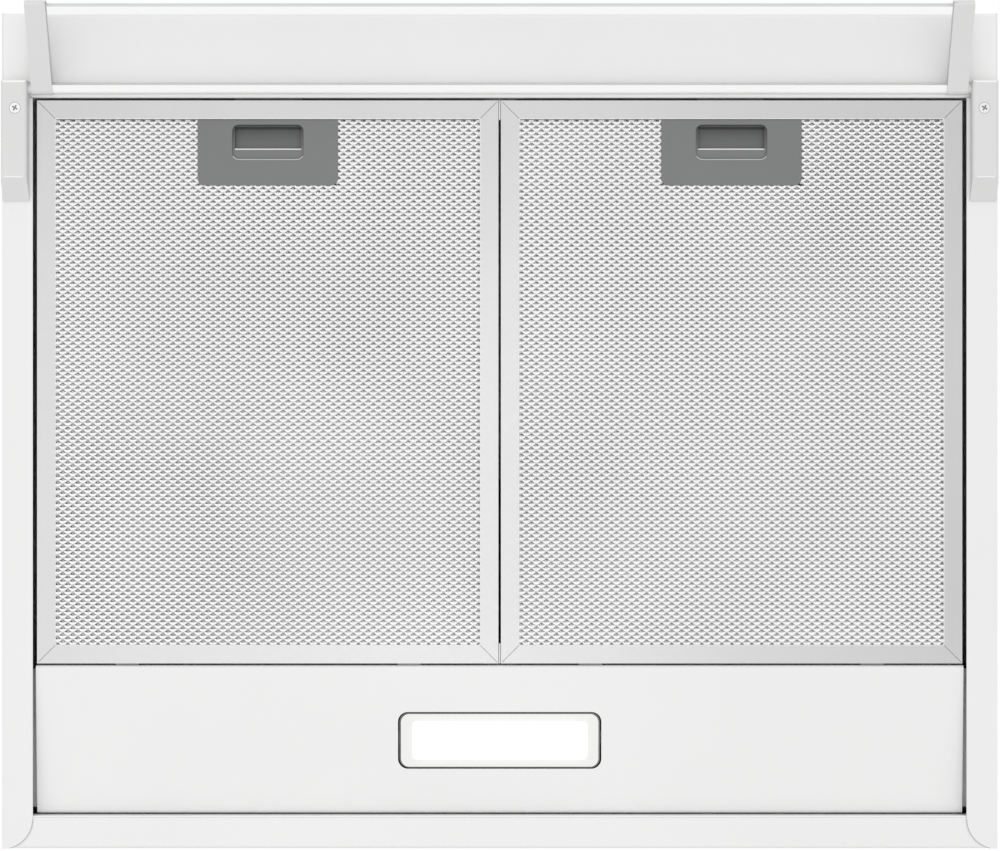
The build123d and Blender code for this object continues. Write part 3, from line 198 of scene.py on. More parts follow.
def combined(tree, operation, first, second=0.0):
    """One value made of two by a math node, each of them a socket or a number."""
    node = tree.nodes.new("ShaderNodeMath")
    node.operation = operation
    for place, value in enumerate((first, second)):
        if isinstance(value, float):
            node.inputs[place].default_value = value
        else:
            tree.links.new(value, node.inputs[place])
    return node.outputs["Value"]


def from_middle(tree, axis, box):
    """The distance from a box's middle along an axis."""
    place = "XYZ".index(axis)
    middle = (box[0][place] + box[1][place]) / 2
    return combined(tree, "ABSOLUTE", combined(tree, "SUBTRACT", place_along(tree, axis), middle))


def ramped(tree, source, start, end, first, last, smooth=False):
    """A value that goes from first to last while its source goes from start to end."""
    remap = tree.nodes.new("ShaderNodeMapRange")
    if smooth:
        remap.interpolation_type = "SMOOTHSTEP"
    remap.inputs["From Min"].default_value = start
    remap.inputs["From Max"].default_value = end
    remap.inputs["To Min"].default_value = first
    remap.inputs["To Max"].default_value = last
    tree.links.new(source, remap.inputs["Value"])
    return remap.outputs["Result"]


def spread(tree, source, low, high):
    """A value between two limits that follows a noise."""
    return ramped(tree, source, 0.3, 0.7, low, high)


def toned(tree, source, stops):
    """A colour that follows a value through stops, each a place on the ramp and a tint."""
    ramp = tree.nodes.new("ShaderNodeValToRGB")
    elements = ramp.color_ramp.elements
    for place, tint in stops[1:-1]:
        between = elements.new(place)
        between.color = (*tint, 1.0)
    for element, (place, tint) in ((elements[0], stops[0]), (elements[-1], stops[-1])):
        element.position = place
        element.color = (*tint, 1.0)
    tree.links.new(source, ramp.inputs["Fac"])
    return ramp.outputs["Color"]


def finish_of(name, first, second, rough, metallic=0.0, coat=0.0, grain=1400.0, stretch=(1.0, 1.0, 1.0),
              relief=0.00001):
    """A painted, moulded or metal finish: broad tone changes, a fine grain in its gloss and its relief."""
    material, tree, shader = new_material(name)
    shader.inputs["Metallic"].default_value = metallic
    shader.inputs["Coat Weight"].default_value = coat
    shader.inputs["Coat Roughness"].default_value = 0.12
    broad = noise(tree, 9.0)
    tree.links.new(toned(tree, broad, ((0.3, first), (0.7, second))), shader.inputs["Base Color"])
    fine = noise(tree, grain, stretch, 2.0)
    tree.links.new(spread(tree, fine, *rough), shader.inputs["Roughness"])
    bump = tree.nodes.new("ShaderNodeBump")
    bump.inputs["Strength"].default_value = 1.0
    bump.inputs["Distance"].default_value = relief
    tree.links.new(fine, bump.inputs["Height"])
    tree.links.new(bump.outputs["Normal"], shader.inputs["Normal"])
    return material


def grey(level):
    """A tint without colour."""
    return (level, level, level)


# Enamel and plastics
white_enamel = finish_of(
    "white_enamel", (0.775, 0.775, 0.772), (0.79, 0.79, 0.787), (0.28, 0.36), coat=0.15, grain=700.0,
    relief=0.000012)
# Fascia enamel: painted light, a lighter copy of the white enamel for the fascia seen through the visor glass
lit_front_enamel = finish_of(
    "lit_front_enamel", (0.825, 0.825, 0.822), (0.84, 0.84, 0.837), (0.28, 0.36), coat=0.15, grain=700.0,
    relief=0.000012)
white_plastic = finish_of(
    "white_plastic", (0.665, 0.665, 0.662), (0.685, 0.685, 0.682), (0.36, 0.44), grain=2200.0,
    relief=0.000008)
bezel_plastic = finish_of(
    "bezel_plastic", (0.79, 0.79, 0.77), (0.805, 0.805, 0.787), (0.3, 0.38), grain=2200.0, relief=0.000006)
latch_plastic = finish_of(
    "latch_plastic", (0.172, 0.174, 0.176), (0.184, 0.186, 0.188), (0.45, 0.55), grain=3200.0,
    relief=0.000012)
black_plastic = finish_of(
    "black_plastic", (0.028, 0.028, 0.03), (0.04, 0.04, 0.042), (0.42, 0.55), grain=1800.0, relief=0.00002)
wheel_plastic = finish_of(
    "wheel_plastic", (0.1, 0.1, 0.105), (0.14, 0.14, 0.145), (0.4, 0.52), grain=1800.0)
soft_rubber = finish_of("soft_rubber", grey(0.03), grey(0.05), (0.6, 0.75), grain=2600.0, relief=0.00002)
gasket_rubber = finish_of("gasket_rubber", grey(0.14), grey(0.18), (0.6, 0.75), grain=2600.0)
circuit_green = finish_of(
    "circuit_green", (0.03, 0.16, 0.08), (0.05, 0.22, 0.11), (0.35, 0.5), grain=2600.0, relief=0.000008)

# Metals
rim_aluminium = finish_of(
    "rim_aluminium", (0.6, 0.6, 0.598), (0.63, 0.63, 0.628), (0.3, 0.36), metallic=1.0, grain=2600.0,
    stretch=(1.0, 0.12, 1.0), relief=0.000006)
mesh_aluminium = finish_of(
    "mesh_aluminium", grey(0.96), grey(0.99), (0.3, 0.42), metallic=0.45, grain=1800.0)
# Darker copies of the mesh's aluminium: painted shade on the legs and edges of the strands and on the deeper
# sheets
leg_shade_aluminium = finish_of("leg_shade_aluminium", grey(0.63), grey(0.72), (0.4, 0.52), metallic=0.6, grain=1800.0)
strand_edge_shade = finish_of("strand_edge_shade", grey(0.35), grey(0.45), (0.45, 0.6), metallic=0.5, grain=1800.0)
deep_shade_aluminium = finish_of("deep_shade_aluminium", grey(0.86), grey(0.94), (0.35, 0.5), metallic=0.5, grain=1800.0)
shaded_aluminium = finish_of(
    "shaded_aluminium", grey(0.76), grey(0.86), (0.4, 0.5), metallic=0.5, grain=1800.0)
bead_aluminium = finish_of(
    "bead_aluminium", grey(0.9), grey(0.94), (0.2, 0.3), metallic=0.9, grain=1800.0, relief=0.000004)
tab_aluminium = finish_of(
    "tab_aluminium", grey(0.2), grey(0.26), (0.35, 0.45), metallic=0.8, grain=2400.0, relief=0.000004)
motor_steel = finish_of(
    "motor_steel", (0.55, 0.55, 0.54), (0.64, 0.64, 0.63), (0.3, 0.42), metallic=1.0, grain=900.0,
    stretch=(0.1, 1.0, 1.0))
screw_steel = finish_of(
    "screw_steel", grey(0.86), grey(0.92), (0.22, 0.34), metallic=1.0, grain=2400.0, relief=0.000006)
recess_shadow = finish_of(
    "recess_shadow", grey(0.32), grey(0.4), (0.35, 0.45), metallic=1.0, grain=2400.0, relief=0.000004)

# Seams, painted shadow, painted highlights on edges, ridges and folds, and ground glass
seam_grey = finish_of("seam_grey", grey(0.4), grey(0.46), (0.4, 0.5), grain=2400.0, relief=0.000004)
seam_shadow = finish_of("seam_shadow", grey(0.05), grey(0.08), (0.5, 0.6), grain=2400.0, relief=0.000004)
# Painted highlights: a light line on the rear edge of the latch window and on the lip of the pull bar
window_edge_highlight = finish_of(
    "window_edge_highlight", (0.48, 0.482, 0.484), (0.54, 0.542, 0.544), (0.25, 0.35), coat=0.2, grain=2400.0,
    relief=0.000004)
lip_highlight = finish_of(
    "lip_highlight", (0.84, 0.842, 0.844), (0.88, 0.882, 0.884), (0.25, 0.35), coat=0.2, grain=2400.0,
    relief=0.000004)
# Painted highlight for the brackets' front rounding, the brackets' ridge and the strip's fold
ridge_highlight = finish_of(
    "ridge_highlight", (0.86, 0.86, 0.855), (0.9, 0.9, 0.895), (0.2, 0.3), coat=0.4, grain=2400.0,
    relief=0.000004)
ground_glass = finish_of("ground_glass", (0.6, 0.63, 0.62), (0.66, 0.69, 0.68), (0.5, 0.65), grain=2600.0)

# Bezel: lit round the lens, less and less towards its outer edge
bezel_tree = bezel_plastic.node_tree
bezel_shader = bezel_tree.nodes["Principled BSDF"]
bezel_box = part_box("lamp_bezel")
bezel_shader.inputs["Emission Color"].default_value = warm_white
bezel_lit = combined(
    bezel_tree, "MULTIPLY",
    ramped(bezel_tree, from_middle(bezel_tree, "X", bezel_box), *bezel_fade_x, bezel_glow, 0.0),
    ramped(bezel_tree, from_middle(bezel_tree, "Y", bezel_box), *bezel_fade_y, bezel_glow, 0.0))
bezel_tree.links.new(bezel_lit, bezel_shader.inputs["Emission Strength"])

# Lens: the lamp's light, fading along its long edges
lamp_glow, glow_tree, glow_shader = new_material("lamp_glow")
glow_shader.inputs["Base Color"].default_value = (0.95, 0.95, 0.93, 1.0)
glow_shader.inputs["Emission Color"].default_value = warm_white
glow_patch = noise(glow_tree, 60.0)
glow_fade = ramped(glow_tree, from_middle(glow_tree, "Y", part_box("lamp_lens")), *lens_fade, 1.0, lens_edge)
glow_power = combined(glow_tree, "MULTIPLY", spread(glow_tree, glow_patch, 1.5, 1.7), glow_fade)
glow_tree.links.new(glow_power, glow_shader.inputs["Emission Strength"])
glow_tree.links.new(spread(glow_tree, glow_patch, 0.3, 0.4), glow_shader.inputs["Roughness"])

# Visor rail: painted shade, darker beside the glass
rail_plastic, rail_tree, rail_shader = new_material("rail_plastic")
rail_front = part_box("visor_rail")[0].y
rail_across = ramped(
    rail_tree, place_along(rail_tree, "Y"), rail_front + rail_shade[0], rail_front + rail_shade[1], 0.0, 1.0)
rail_tone = toned(rail_tree, rail_across, ((0.0, (0.75, 0.755, 0.75)), (1.0, (0.89, 0.89, 0.885))))
rail_tree.links.new(rail_tone, rail_shader.inputs["Base Color"])
rail_tree.links.new(spread(rail_tree, noise(rail_tree, 1800.0), 0.18, 0.26), rail_shader.inputs["Roughness"])

# Latch slider: painted shade in the scoop, darkest at its front, and the latch's own grey on the pull bar
scoop_plastic, scoop_tree, scoop_shader = new_material("scoop_plastic")
scoop_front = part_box("latch_housing_left")[0].y + scoop_start
scoop_shade_ramp = ramped(
    scoop_tree, place_along(scoop_tree, "Y"), scoop_front, scoop_front + scoop_length, 0.0, 1.0)
scoop_shade_tone = toned(
    scoop_tree, scoop_shade_ramp,
    ((0.0, (0.056, 0.057, 0.058)), (0.985, (0.15, 0.152, 0.154)), (1.0, (0.176, 0.178, 0.18))))
scoop_tree.links.new(scoop_shade_tone, scoop_shader.inputs["Base Color"])
scoop_tree.links.new(
    spread(scoop_tree, noise(scoop_tree, 3200.0), 0.45, 0.55), scoop_shader.inputs["Roughness"])

# Visor glass: it lets the light that falls on other pieces through unchanged
visor_glass, glass_tree, glass_shader = new_material("visor_glass")
glass_shader.inputs["Base Color"].default_value = (0.928, 0.932, 0.93, 1.0)
glass_shader.inputs["Transmission Weight"].default_value = 1.0
glass_shader.inputs["IOR"].default_value = 1.45
glass_smear = spread(glass_tree, noise(glass_tree, 24.0), 0.0, 0.03)
glass_tree.links.new(glass_smear, glass_shader.inputs["Roughness"])
light_path = glass_tree.nodes.new("ShaderNodeLightPath")
see_through = glass_tree.nodes.new("ShaderNodeBsdfTransparent")
glass_mix = glass_tree.nodes.new("ShaderNodeMixShader")
lets_through = combined(
    glass_tree, "MAXIMUM", light_path.outputs["Is Shadow Ray"], light_path.outputs["Is Diffuse Ray"])
glass_tree.links.new(lets_through, glass_mix.inputs["Fac"])
glass_tree.links.new(glass_shader.outputs["BSDF"], glass_mix.inputs[1])
glass_tree.links.new(see_through.outputs["BSDF"], glass_mix.inputs[2])
glass_tree.links.new(glass_mix.outputs["Shader"], glass_tree.nodes["Material Output"].inputs["Surface"])

slot_finish = {
    "white_enamel": white_enamel,
    "white_plastic": white_plastic,
    "lamp_diffuser": lamp_glow,
    "clear_glass": visor_glass,
    "filter_aluminium": rim_aluminium,
    "mesh_aluminium": mesh_aluminium,
    "grey_plastic": latch_plastic,
    "black_plastic": black_plastic,
    "wheel_plastic": wheel_plastic,
    "motor_steel": motor_steel,
    "screw_steel": screw_steel,
    "circuit_board": circuit_green,
    "soft_rubber": soft_rubber,
}
own_finish = {
    "front_fascia": lit_front_enamel,
    "switch_board": black_plastic,
    "lamp_bezel": bezel_plastic,
    "visor_rail": rail_plastic,
    "latch_slider_left": scoop_plastic,
    "latch_slider_right": scoop_plastic,
}
for node_name, slot_name in slot_of.items():
    node = nodes[node_name]
    node.data.materials.clear()
    node.data.materials.append(own_finish.get(node_name, slot_finish[slot_name]))


def linked(piece):
    """A piece that is put in the scene."""
    bpy.context.scene.collection.objects.link(piece)
    return piece


def mesh_piece(name, points, faces, finishes, materials, body, slot_name):
    """A new mesh object that rides on a body, with a finish for each face; its slot name is not used."""
    mesh = bpy.data.meshes.new(name)
    mesh.from_pydata(points, [], faces)
    mesh.polygons.foreach_set("material_index", finishes)
    mesh.update()
    for material in materials:
        mesh.materials.append(material)
    piece = linked(bpy.data.objects.new(name, mesh))
    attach(piece, body)
    return piece


def copy_of(node_name, name):
    """A copy of a node's own mesh, at the same place and with the same slot, that stands in for it."""
    node = nodes[node_name]
    piece = linked(bpy.data.objects.new(name, node.data.copy()))
    piece.matrix_world = node.matrix_world.copy()
    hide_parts(node_name)
    return piece


def dressed_copy(node_name, body, materials, choose):
    """A copy that stands in for a node and whose faces take one of several finishes."""
    piece = copy_of(node_name, f"{node_name}_finish")
    piece.data.materials.clear()
    for material in materials:
        piece.data.materials.append(material)
    for face in piece.data.polygons:
        face.material_index = choose(face)
    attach(piece, body)
    return piece


def ring_faces(rings, closed):
    """The faces of a tube whose points come ring by ring."""
    faces = []
    for ring in range(rings if closed else rings - 1):
        near = ring * line_spokes
        far = (ring + 1) % rings * line_spokes
        for spoke in range(line_spokes):
            after = (spoke + 1) % line_spokes
            faces.append((near + spoke, far + spoke, far + after, near + after))
    return faces


def line_piece(name, path, radius, material, body, slot_name, closed=False):
    """A thin round bead along a path that lies flat, half sunk in the surface behind it."""
    points = []
    last = len(path) - 1
    for place, (x, y, z) in enumerate(path):
        if closed:
            before, after = path[place - 1], path[(place + 1) % len(path)]
        else:
            before, after = path[max(place - 1, 0)], path[min(place + 1, last)]
        along = (after[0] - before[0], after[1] - before[1])
        span = (along[0] ** 2 + along[1] ** 2) ** 0.5
        for spoke in range(line_spokes):
            turn = 2 * pi * spoke / line_spokes
            out = radius * cos(turn) / span
            points.append((x - along[1] * out, y + along[0] * out, z + radius * sin(turn)))
    faces = ring_faces(len(path), closed)
    if not closed:
        faces.append(tuple(range(line_spokes)))
        faces.append(tuple(range(last * line_spokes, (last + 1) * line_spokes))[::-1])
    return mesh_piece(name, points, faces, [0] * len(faces), (material,), body, slot_name)


def expanded_sheet(low, high, z, strand, cell, arc_steps, keep_out, patch=None):
    """Points, faces and finishes of expanded metal: strands that twist from bright crests to legs in painted
    shade, with their edges in painted shade too.

    strand is its width at the legs and at the crests, its gauge, and how far legs and crests lean.
    cell is the pattern's shift in half cells, its swell along X and Y, and the sway of the strands.
    patch is a place, its radius and how far the pattern drifts away from that place.
    """
    narrow, wide, gauge, leg_lean, crest_lean = strand
    shift, swell_x, swell_y, sway = cell
    points, faces, finishes = [], [], []
    row_pitch = cell_height / 2 * swell_y
    half_cell = cell_length / 2 * swell_x
    rows = int((high[1] - low[1] - wide) / row_pitch)
    steps = int((high[0] - low[0]) / half_cell * arc_steps)
    for row in range(rows):
        row_start = len(points)
        kept = []
        for step in range(steps + 1):
            x = low[0] + step * half_cell / arc_steps
            crest = 0.5 - 0.5 * cos(pi * (step / arc_steps + row + shift))
            y = low[1] + wide / 2 + (row + 0.5 + (crest - 0.5) * sway) * row_pitch
            half_strand = (narrow + (wide - narrow) * crest) / 2
            lean = leg_lean + (crest_lean - leg_lean) * crest
            if patch:
                drift = patch[3] * (1 - exp(-((x - patch[0]) ** 2 + (y - patch[1]) ** 2) / patch[2] ** 2))
                x += drift * 0.5
                y += drift
            rear_z = z + max(-lean, 0.0)
            points.append((x, y - half_strand, z + max(lean, 0.0)))
            points.append((x, y + half_strand, rear_z))
            points.append((x, y + half_strand + gauge * edge_fall, rear_z + gauge))
            behind_latch = keep_out[0] < x < keep_out[2] and keep_out[1] < y < keep_out[3]
            in_opening = low[1] < y - half_strand and y + half_strand < high[1] and x < high[0]
            kept.append(in_opening and not behind_latch)
        for step in range(steps):
            if kept[step] and kept[step + 1]:
                first = row_start + 3 * step
                after = first + 3
                faces.append((first, first + 1, after + 1, after))
                faces.append((first + 1, first + 2, after + 2, after + 1))
                crest = 0.5 - 0.5 * cos(pi * ((step + 0.5) / arc_steps + row + shift))
                # The crests keep the bright finish; the legs take painted shade, and so do the strands' edges
                finishes += [0 if crest > bright_crest else 1, 2]
    return points, faces, finishes


def rim_bead(low, high, z):
    """A closed round bead round the opening of a filter's rim."""
    points = []
    rings = 0
    corners = ((high[0], high[1]), (low[0], high[1]), (low[0], low[1]), (high[0], low[1]))
    for quarter, (x, y) in enumerate(corners):
        centre_x = x - bead_corner if quarter in (0, 3) else x + bead_corner
        centre_y = y - bead_corner if quarter in (0, 1) else y + bead_corner
        for step in range(5):
            turn = (quarter + step / 4) * pi / 2
            rings += 1
            for spoke in range(line_spokes):
                tilt = 2 * pi * spoke / line_spokes
                reach = bead_corner + bead_radius * cos(tilt)
                points.append((
                    centre_x + reach * cos(turn), centre_y + reach * sin(turn), z + bead_radius * sin(tilt)))
    return points, ring_faces(rings, True)


# Filter mesh: a bright expanded sheet, with painted shade on its legs and edges, in front of three coarser
# ones in painted shade, and a rolled bead along the rim
front_strand = (0.001, 0.0017, 0.0004, -0.0004, 0.0006)
front_cell = (0.0, 1.0, 1.0, 0.5)
deep_strand = (0.0003, -0.0003, 0.0006)
patch_left = (0.05, 0.06)
patch_right = (0.03, 0.05)
patch_radius = 0.08
patch_drift = 0.001
for side in sides:
    body = f"filter_{side}"
    frame_low, frame_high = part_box(f"filter_frame_{side}")
    latch_low, latch_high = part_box(f"latch_housing_{side}")
    core_low, core_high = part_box(f"filter_core_{side}")
    open_low = (frame_low.x + rim, frame_low.y + rim)
    open_high = (frame_high.x - rim, frame_high.y - tab_reach - rim)
    mesh_low = (open_low[0] - mesh_tuck, open_low[1] - mesh_tuck)
    mesh_high = (open_high[0] + mesh_tuck, open_high[1] + mesh_tuck)
    latch_hole = (
        latch_low.x + latch_overlap, latch_low.y - latch_clear_front,
        latch_high.x - latch_overlap, latch_high.y - latch_overlap)
    front_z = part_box(f"filter_mesh_{side}")[0].z
    front = expanded_sheet(mesh_low, mesh_high, front_z, front_strand, front_cell, 6, latch_hole)
    front_mesh = mesh_piece(
        f"front_mesh_{side}", *front, (mesh_aluminium, leg_shade_aluminium, strand_edge_shade), body, "mesh_aluminium")
    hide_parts(f"filter_mesh_{side}")

    if side == "left":
        patch = (mesh_low[0] + patch_left[0], mesh_high[1] - patch_left[1], patch_radius, patch_drift)
    else:
        patch = (mesh_high[0] - patch_right[0], mesh_low[1] + patch_right[1], patch_radius, patch_drift)

    # Deeper layers: height, width of the strands at the legs and at the crests, cell, and finishes
    layers = (
        (core_low.z, 0.0005, 0.0012, (1.0, 1.0, 1.0, 0.7), (0, 1, 2)),
        (core_low.z + 0.0013, 0.0008, 0.0015, (0.5, 1.006, 0.985, 0.8), (1, 1, 2)),
        (core_high.z - 0.0012, 0.0009, 0.0016, (0.7, 0.99, 1.0, 0.8), (1, 1, 2)),
    )
    deep_points, deep_faces, deep_finishes = [], [], []
    for layer_z, narrow, wide, cell, finish_set in layers:
        points, faces, finishes = expanded_sheet(
            mesh_low, mesh_high, layer_z, (narrow, wide, *deep_strand), cell, 2, latch_hole, patch)
        start = len(deep_points)
        deep_points += points
        deep_faces += [tuple(corner + start for corner in face) for face in faces]
        deep_finishes += [finish_set[finish] for finish in finishes]
    deep_mesh = mesh_piece(
        f"deep_mesh_{side}", deep_points, deep_faces, deep_finishes,
        (deep_shade_aluminium, shaded_aluminium, strand_edge_shade), body, "mesh_aluminium")
    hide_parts(f"filter_core_{side}")
    bead = rim_bead(open_low, open_high, frame_low.z + bead_radius)
    mesh_piece(f"rim_bead_{side}", *bead, [0] * len(bead[1]), (bead_aluminium,), body, "filter_aluminium")

# Visor glass: polished faces, and a ground free edge with one wide arris that shows as a grey band


def glass_finish(face):
    """The ground finish for the free edge and its arrises, the clear one for the rest."""
    outward = -face.normal.y * cos(visor_tilt) - face.normal.z * sin(visor_tilt)
    return 1 if outward > 0.5 else 0


glass_piece = dressed_copy("visor_glass", "visor", (visor_glass, ground_glass), glass_finish)
glass_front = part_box("visor_glass")[0].y
for corner in glass_piece.data.vertices:
    if corner.co.y < glass_front + glass_edge_reach:
        off_middle = (corner.co.y - pivot_y) * sin(visor_tilt) - (corner.co.z - pivot_z) * cos(visor_tilt)
        back = glass_setback + (glass_arris if off_middle > glass_half else 0.0)
        corner.co.y += back * cos(visor_tilt)
        corner.co.z += back * sin(visor_tilt)

# Bracket screws: bright heads with a darker cross recess
screw_low, screw_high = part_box("bracket_screws")


def screw_finish(face):
    """The dark finish for what lies below the face of a head, the bright one for the rest."""
    return 1 if face.center.z > screw_low.z + recess_start else 0


dressed_copy("bracket_screws", "hood", (screw_steel, recess_shadow), screw_finish)

# Lamp gasket: a dark rubber ring between the bezel and the edge of the panel's opening


def rounded_outline(half, corner):
    """The corner points of a rectangle with rounded corners, round its middle."""
    outline = []
    for quarter, (sign_x, sign_y) in enumerate(((1, 1), (-1, 1), (-1, -1), (1, -1))):
        for step in range(7):
            turn = (quarter + step / 6) * pi / 2
            outline.append((
                sign_x * (half[0] - corner) + corner * cos(turn),
                sign_y * (half[1] - corner) + corner * sin(turn)))
    return outline


panel_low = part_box("lamp_panel")[0]
lamp_x = (bezel_box[0].x + bezel_box[1].x) / 2
lamp_y = (bezel_box[0].y + bezel_box[1].y) / 2
lamp_z = panel_low.z + (lamp_y - panel_low.y) * sin(lamp_tilt) / cos(lamp_tilt)
outlines = (
    rounded_outline(gasket_half, gasket_corner),
    rounded_outline(gasket_inner_half, gasket_inner_corner))
gasket_points = [
    (lamp_x + x,
     lamp_y + y * cos(lamp_tilt) - depth * sin(lamp_tilt),
     lamp_z + y * sin(lamp_tilt) + depth * cos(lamp_tilt))
    for depth in (gasket_rise, gasket_rise + gasket_depth)
    for outline in outlines
    for x, y in outline]
count = len(outlines[0])
gasket_faces = []
for place in range(count):
    after = (place + 1) % count
    for first, second in ((0, count), (3 * count, 2 * count), (count, 3 * count), (2 * count, 0)):
        gasket_faces.append((first + place, second + place, second + after, first + after))
mesh_piece(
    "lamp_gasket", gasket_points, gasket_faces, [0] * len(gasket_faces), (gasket_rubber,), "hood",
    "soft_rubber")

# Filter frames: grey rear tabs and dark mitre slits
for side in sides:
    body = f"filter_{side}"
    frame_low, frame_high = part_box(f"filter_frame_{side}")
    tab_start = frame_high.y - tab_reach + tab_margin

    def frame_finish(face):
        """The grey finish for the tabs, the dark one inside the mitre slits, the rim's for the rest."""
        if face.center.y > tab_start:
            return 1
        in_sheet = frame_low.z + slit_margin < face.center.z < frame_low.z + frame_sheet * 0.7
        near_x = min(face.center.x - frame_low.x, frame_high.x - face.center.x)
        near_y = min(face.center.y - frame_low.y, tab_start - face.center.y)
        return 2 if in_sheet and slit_start < near_x < rim and slit_start < near_y < rim else 0

    dressed_copy(f"filter_frame_{side}", body, (rim_aluminium, tab_aluminium, seam_shadow), frame_finish)

    # Latch: painted highlights along the lip of the pull bar and the rear edge of the window, and a painted
    # shadow along the rim
    slider_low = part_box(f"latch_slider_{side}")[0]
    housing_low, housing_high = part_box(f"latch_housing_{side}")
    latch_x = (housing_low.x + housing_high.x) / 2
    lip_y = housing_low.y + lip_place
    lip_z = slider_low.z + lip_radius - lip_stand
    line_piece(
        f"latch_lip_{side}", [(latch_x - lip_half, lip_y, lip_z), (latch_x + lip_half, lip_y, lip_z)],
        lip_radius, lip_highlight, f"latch_{side}", "grey_plastic")
    corner_x = window_half - window_corner
    corner_y = housing_low.y + window_rear - window_corner
    corner_path = [
        (corner_x + window_corner * sin(radians(turn)), corner_y + window_corner * cos(radians(turn)))
        for turn in (60, 40, 20, 0)]
    window_z = housing_low.z + line_stand
    window_path = [(latch_x + x, y, window_z) for x, y in corner_path]
    window_path += [(latch_x - x, y, window_z) for x, y in corner_path[::-1]]
    line_piece(f"latch_window_edge_{side}", window_path, thin_line, window_edge_highlight, body, "grey_plastic")
    rim_edge = frame_low.y + rim + rim_seam_gap
    line_piece(
        f"rim_seam_{side}",
        [(frame_low.x + rim, rim_edge, housing_low.z), (frame_high.x - rim, rim_edge, housing_low.z)],
        thin_line, seam_shadow, body, "filter_aluminium")

    # Latch spring: a copy stands in for it, with its place baked into its points
    spring_name = f"latch_spring_{side}"
    spring = copy_of(spring_name, f"{spring_name}_flex")
    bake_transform(spring)

# Hinge brackets: a painted highlight on the front rounding and on a ridge where the ramp begins, and a ring
# round the screw


def bracket_finish(face):
    """The painted highlight for the rounding along the front, the plain finish for the rest."""
    return 1 if -face.normal.y > 0.25 and -face.normal.z > 0.25 else 0


for side in sides:
    dressed_copy(f"hinge_bracket_{side}", "hood", (white_plastic, ridge_highlight), bracket_finish)
    bracket_low, bracket_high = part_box(f"hinge_bracket_{side}")
    ridge_y = bracket_high.y - ramp_length
    ridge_z = bracket_low.z + line_stand
    line_piece(
        f"bracket_ridge_{side}",
        [(bracket_low.x + bracket_round, ridge_y, ridge_z),
         (bracket_high.x - bracket_round, ridge_y, ridge_z)],
        thick_line, ridge_highlight, "hood", "white_plastic")
    screw_x = screw_low.x + screw_head if side == "left" else screw_high.x - screw_head
    screw_y = (screw_low.y + screw_high.y) / 2
    ring_path = [
        (screw_x + screw_head * cos(radians(turn)), screw_y + screw_head * sin(radians(turn)), screw_low.z)
        for turn in range(0, 360, 15)]
    line_piece(f"screw_ring_{side}", ring_path, ring_line, seam_grey, "hood", "screw_steel", closed=True)

# Body seams: the grey seam round each rear corner, and a painted highlight along the fold of the strip
corner_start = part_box("side_panel_left")[1].y - flange_corner
for side, sign in zip(sides, (-1, 1)):
    corner_path = [
        (sign * flange_inner_x + sign * flange_corner * (1 - cos(radians(turn))),
         corner_start + flange_corner * sin(radians(turn)), flange_z + corner_seam_sink)
        for turn in range(0, corner_seam_end, 7)]
    line_piece(f"corner_seam_{side}", corner_path, corner_line, seam_grey, "hood", "white_enamel")
strip_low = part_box("rear_panel")[0]
strip_y = strip_low.y + thick_line
strip_z = strip_low.z + line_stand
line_piece(
    "strip_fold", [(-strip_half, strip_y, strip_z), (strip_half, strip_y, strip_z)], thick_line, ridge_highlight,
    "hood", "white_enamel")

# Floor, far below the hood, nearly as white as the backdrop
floor_white = finish_of("floor_white", grey(0.9), grey(0.92), (0.8, 0.9), grain=60.0)
floor_shader = floor_white.node_tree.nodes["Principled BSDF"]
floor_shader.inputs["Emission Color"].default_value = plain_white
floor_shader.inputs["Emission Strength"].default_value = floor_glow
floor_mesh = bpy.data.meshes.new("floor")
reach = floor_size / 2
floor_mesh.from_pydata(
    [(-reach, -reach, floor_z), (reach, -reach, floor_z), (reach, reach, floor_z), (-reach, reach, floor_z)],
    [], [(0, 1, 2, 3)])
floor_mesh.materials.append(floor_white)
floor = bpy.data.objects.new("floor", floor_mesh)
bpy.context.scene.collection.objects.link(floor)
floor.visible_diffuse = False
floor.visible_glossy = False

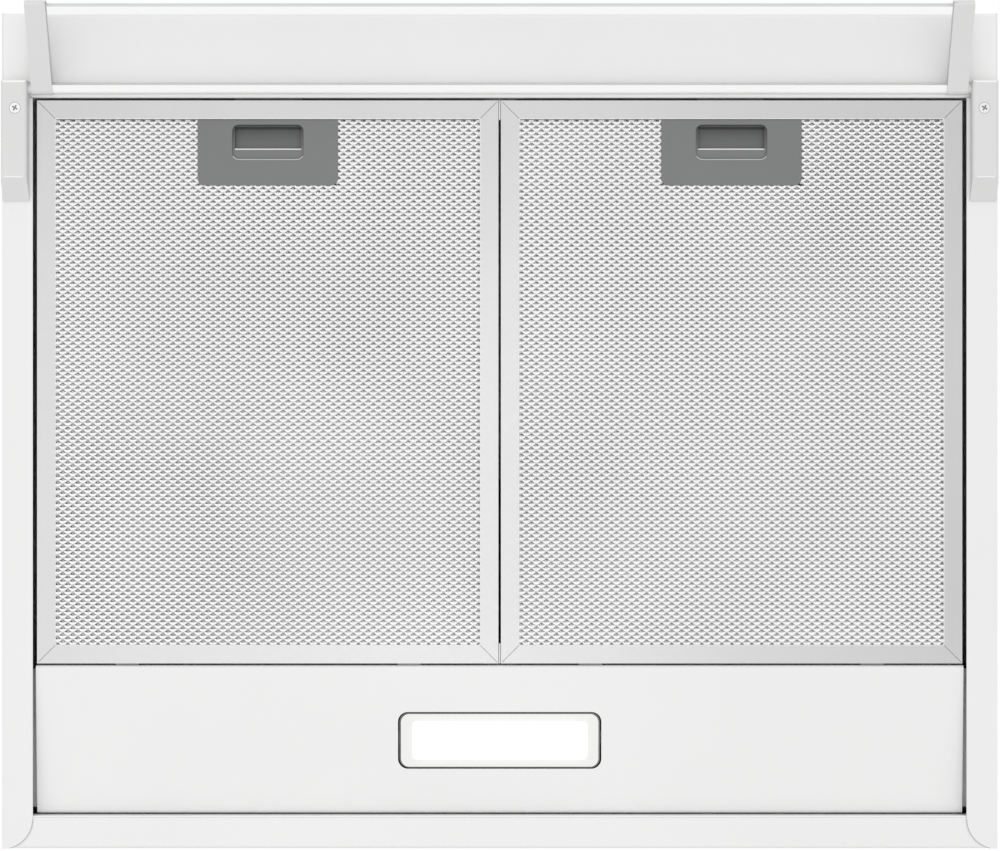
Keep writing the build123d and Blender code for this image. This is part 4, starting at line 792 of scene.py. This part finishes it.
# Surround: from below a little brighter towards the front, from above brightest overhead and at the front
# left, and white to the camera and in metal and glass
world = bpy.data.worlds.new("studio")
bpy.context.scene.world = world
world.use_nodes = True
sky = world.node_tree
sky.nodes.clear()
sky_output = sky.nodes.new("ShaderNodeOutputWorld")
direction = sky.nodes.new("ShaderNodeTexCoord")
parts = sky.nodes.new("ShaderNodeSeparateXYZ")
sky.links.new(direction.outputs["Generated"], parts.inputs["Vector"])
along_x, along_y, along_z = (parts.outputs[axis] for axis in "XYZ")
from_below = ramped(sky, along_y, -sky_reach, sky_reach, *front_to_rear_below, smooth=True)
sideways = combined(
    sky, "MULTIPLY",
    ramped(sky, along_x, -sky_reach, sky_reach, *left_to_right_above, smooth=True),
    ramped(sky, along_y, -sky_reach, sky_reach, *front_to_rear_above, smooth=True))
overhead = ramped(sky, along_z, *zenith_range, *side_to_zenith, smooth=True)
from_above = combined(sky, "MULTIPLY", sideways, overhead)
above_share = ramped(sky, along_z, *horizon_range, 0.0, 1.0, smooth=True)
blend = sky.nodes.new("ShaderNodeMix")
sky.links.new(above_share, blend.inputs["Factor"])
sky.links.new(from_below, blend.inputs["A"])
sky.links.new(from_above, blend.inputs["B"])
surround = sky.nodes.new("ShaderNodeBackground")
surround.inputs["Color"].default_value = plain_white
sky.links.new(blend.outputs["Result"], surround.inputs["Strength"])
backdrop = sky.nodes.new("ShaderNodeBackground")
backdrop.inputs["Color"].default_value = plain_white
backdrop.inputs["Strength"].default_value = 1.0
ray = sky.nodes.new("ShaderNodeLightPath")
shows_backdrop = ray.outputs["Is Camera Ray"]
for kind in ("Is Glossy Ray", "Is Transmission Ray"):
    shows_backdrop = combined(sky, "MAXIMUM", shows_backdrop, ray.outputs[kind])
mix = sky.nodes.new("ShaderNodeMixShader")
sky.links.new(shows_backdrop, mix.inputs["Fac"])
sky.links.new(surround.outputs["Background"], mix.inputs[1])
sky.links.new(backdrop.outputs["Background"], mix.inputs[2])
sky.links.new(mix.outputs["Shader"], sky_output.inputs["Surface"])

# Panel of light below the hood, which the filters' rims mirror
panel_light = bpy.data.lights.new("panel", "AREA")
panel_light.shape = "SQUARE"
panel_light.size = panel_size
panel_light.energy = panel_power
panel = bpy.data.objects.new("panel", panel_light)
panel.location = panel_place
panel.rotation_euler = (pi, 0.0, 0.0)
panel.visible_camera = False
bpy.context.scene.collection.objects.link(panel)

# Camera, straight below and looking up
camera_data = bpy.data.cameras.new("photo_camera")
camera_data.lens = photo_lens
camera_data.sensor_width = sensor_width
camera = bpy.data.objects.new("photo_camera", camera_data)
camera.location = (*view_centre, flange_z - photo_distance)
camera.rotation_euler = (pi, 0.0, 0.0)
bpy.context.scene.collection.objects.link(camera)
bpy.context.scene.camera = camera
bpy.context.scene.view_settings.view_transform = "Standard"
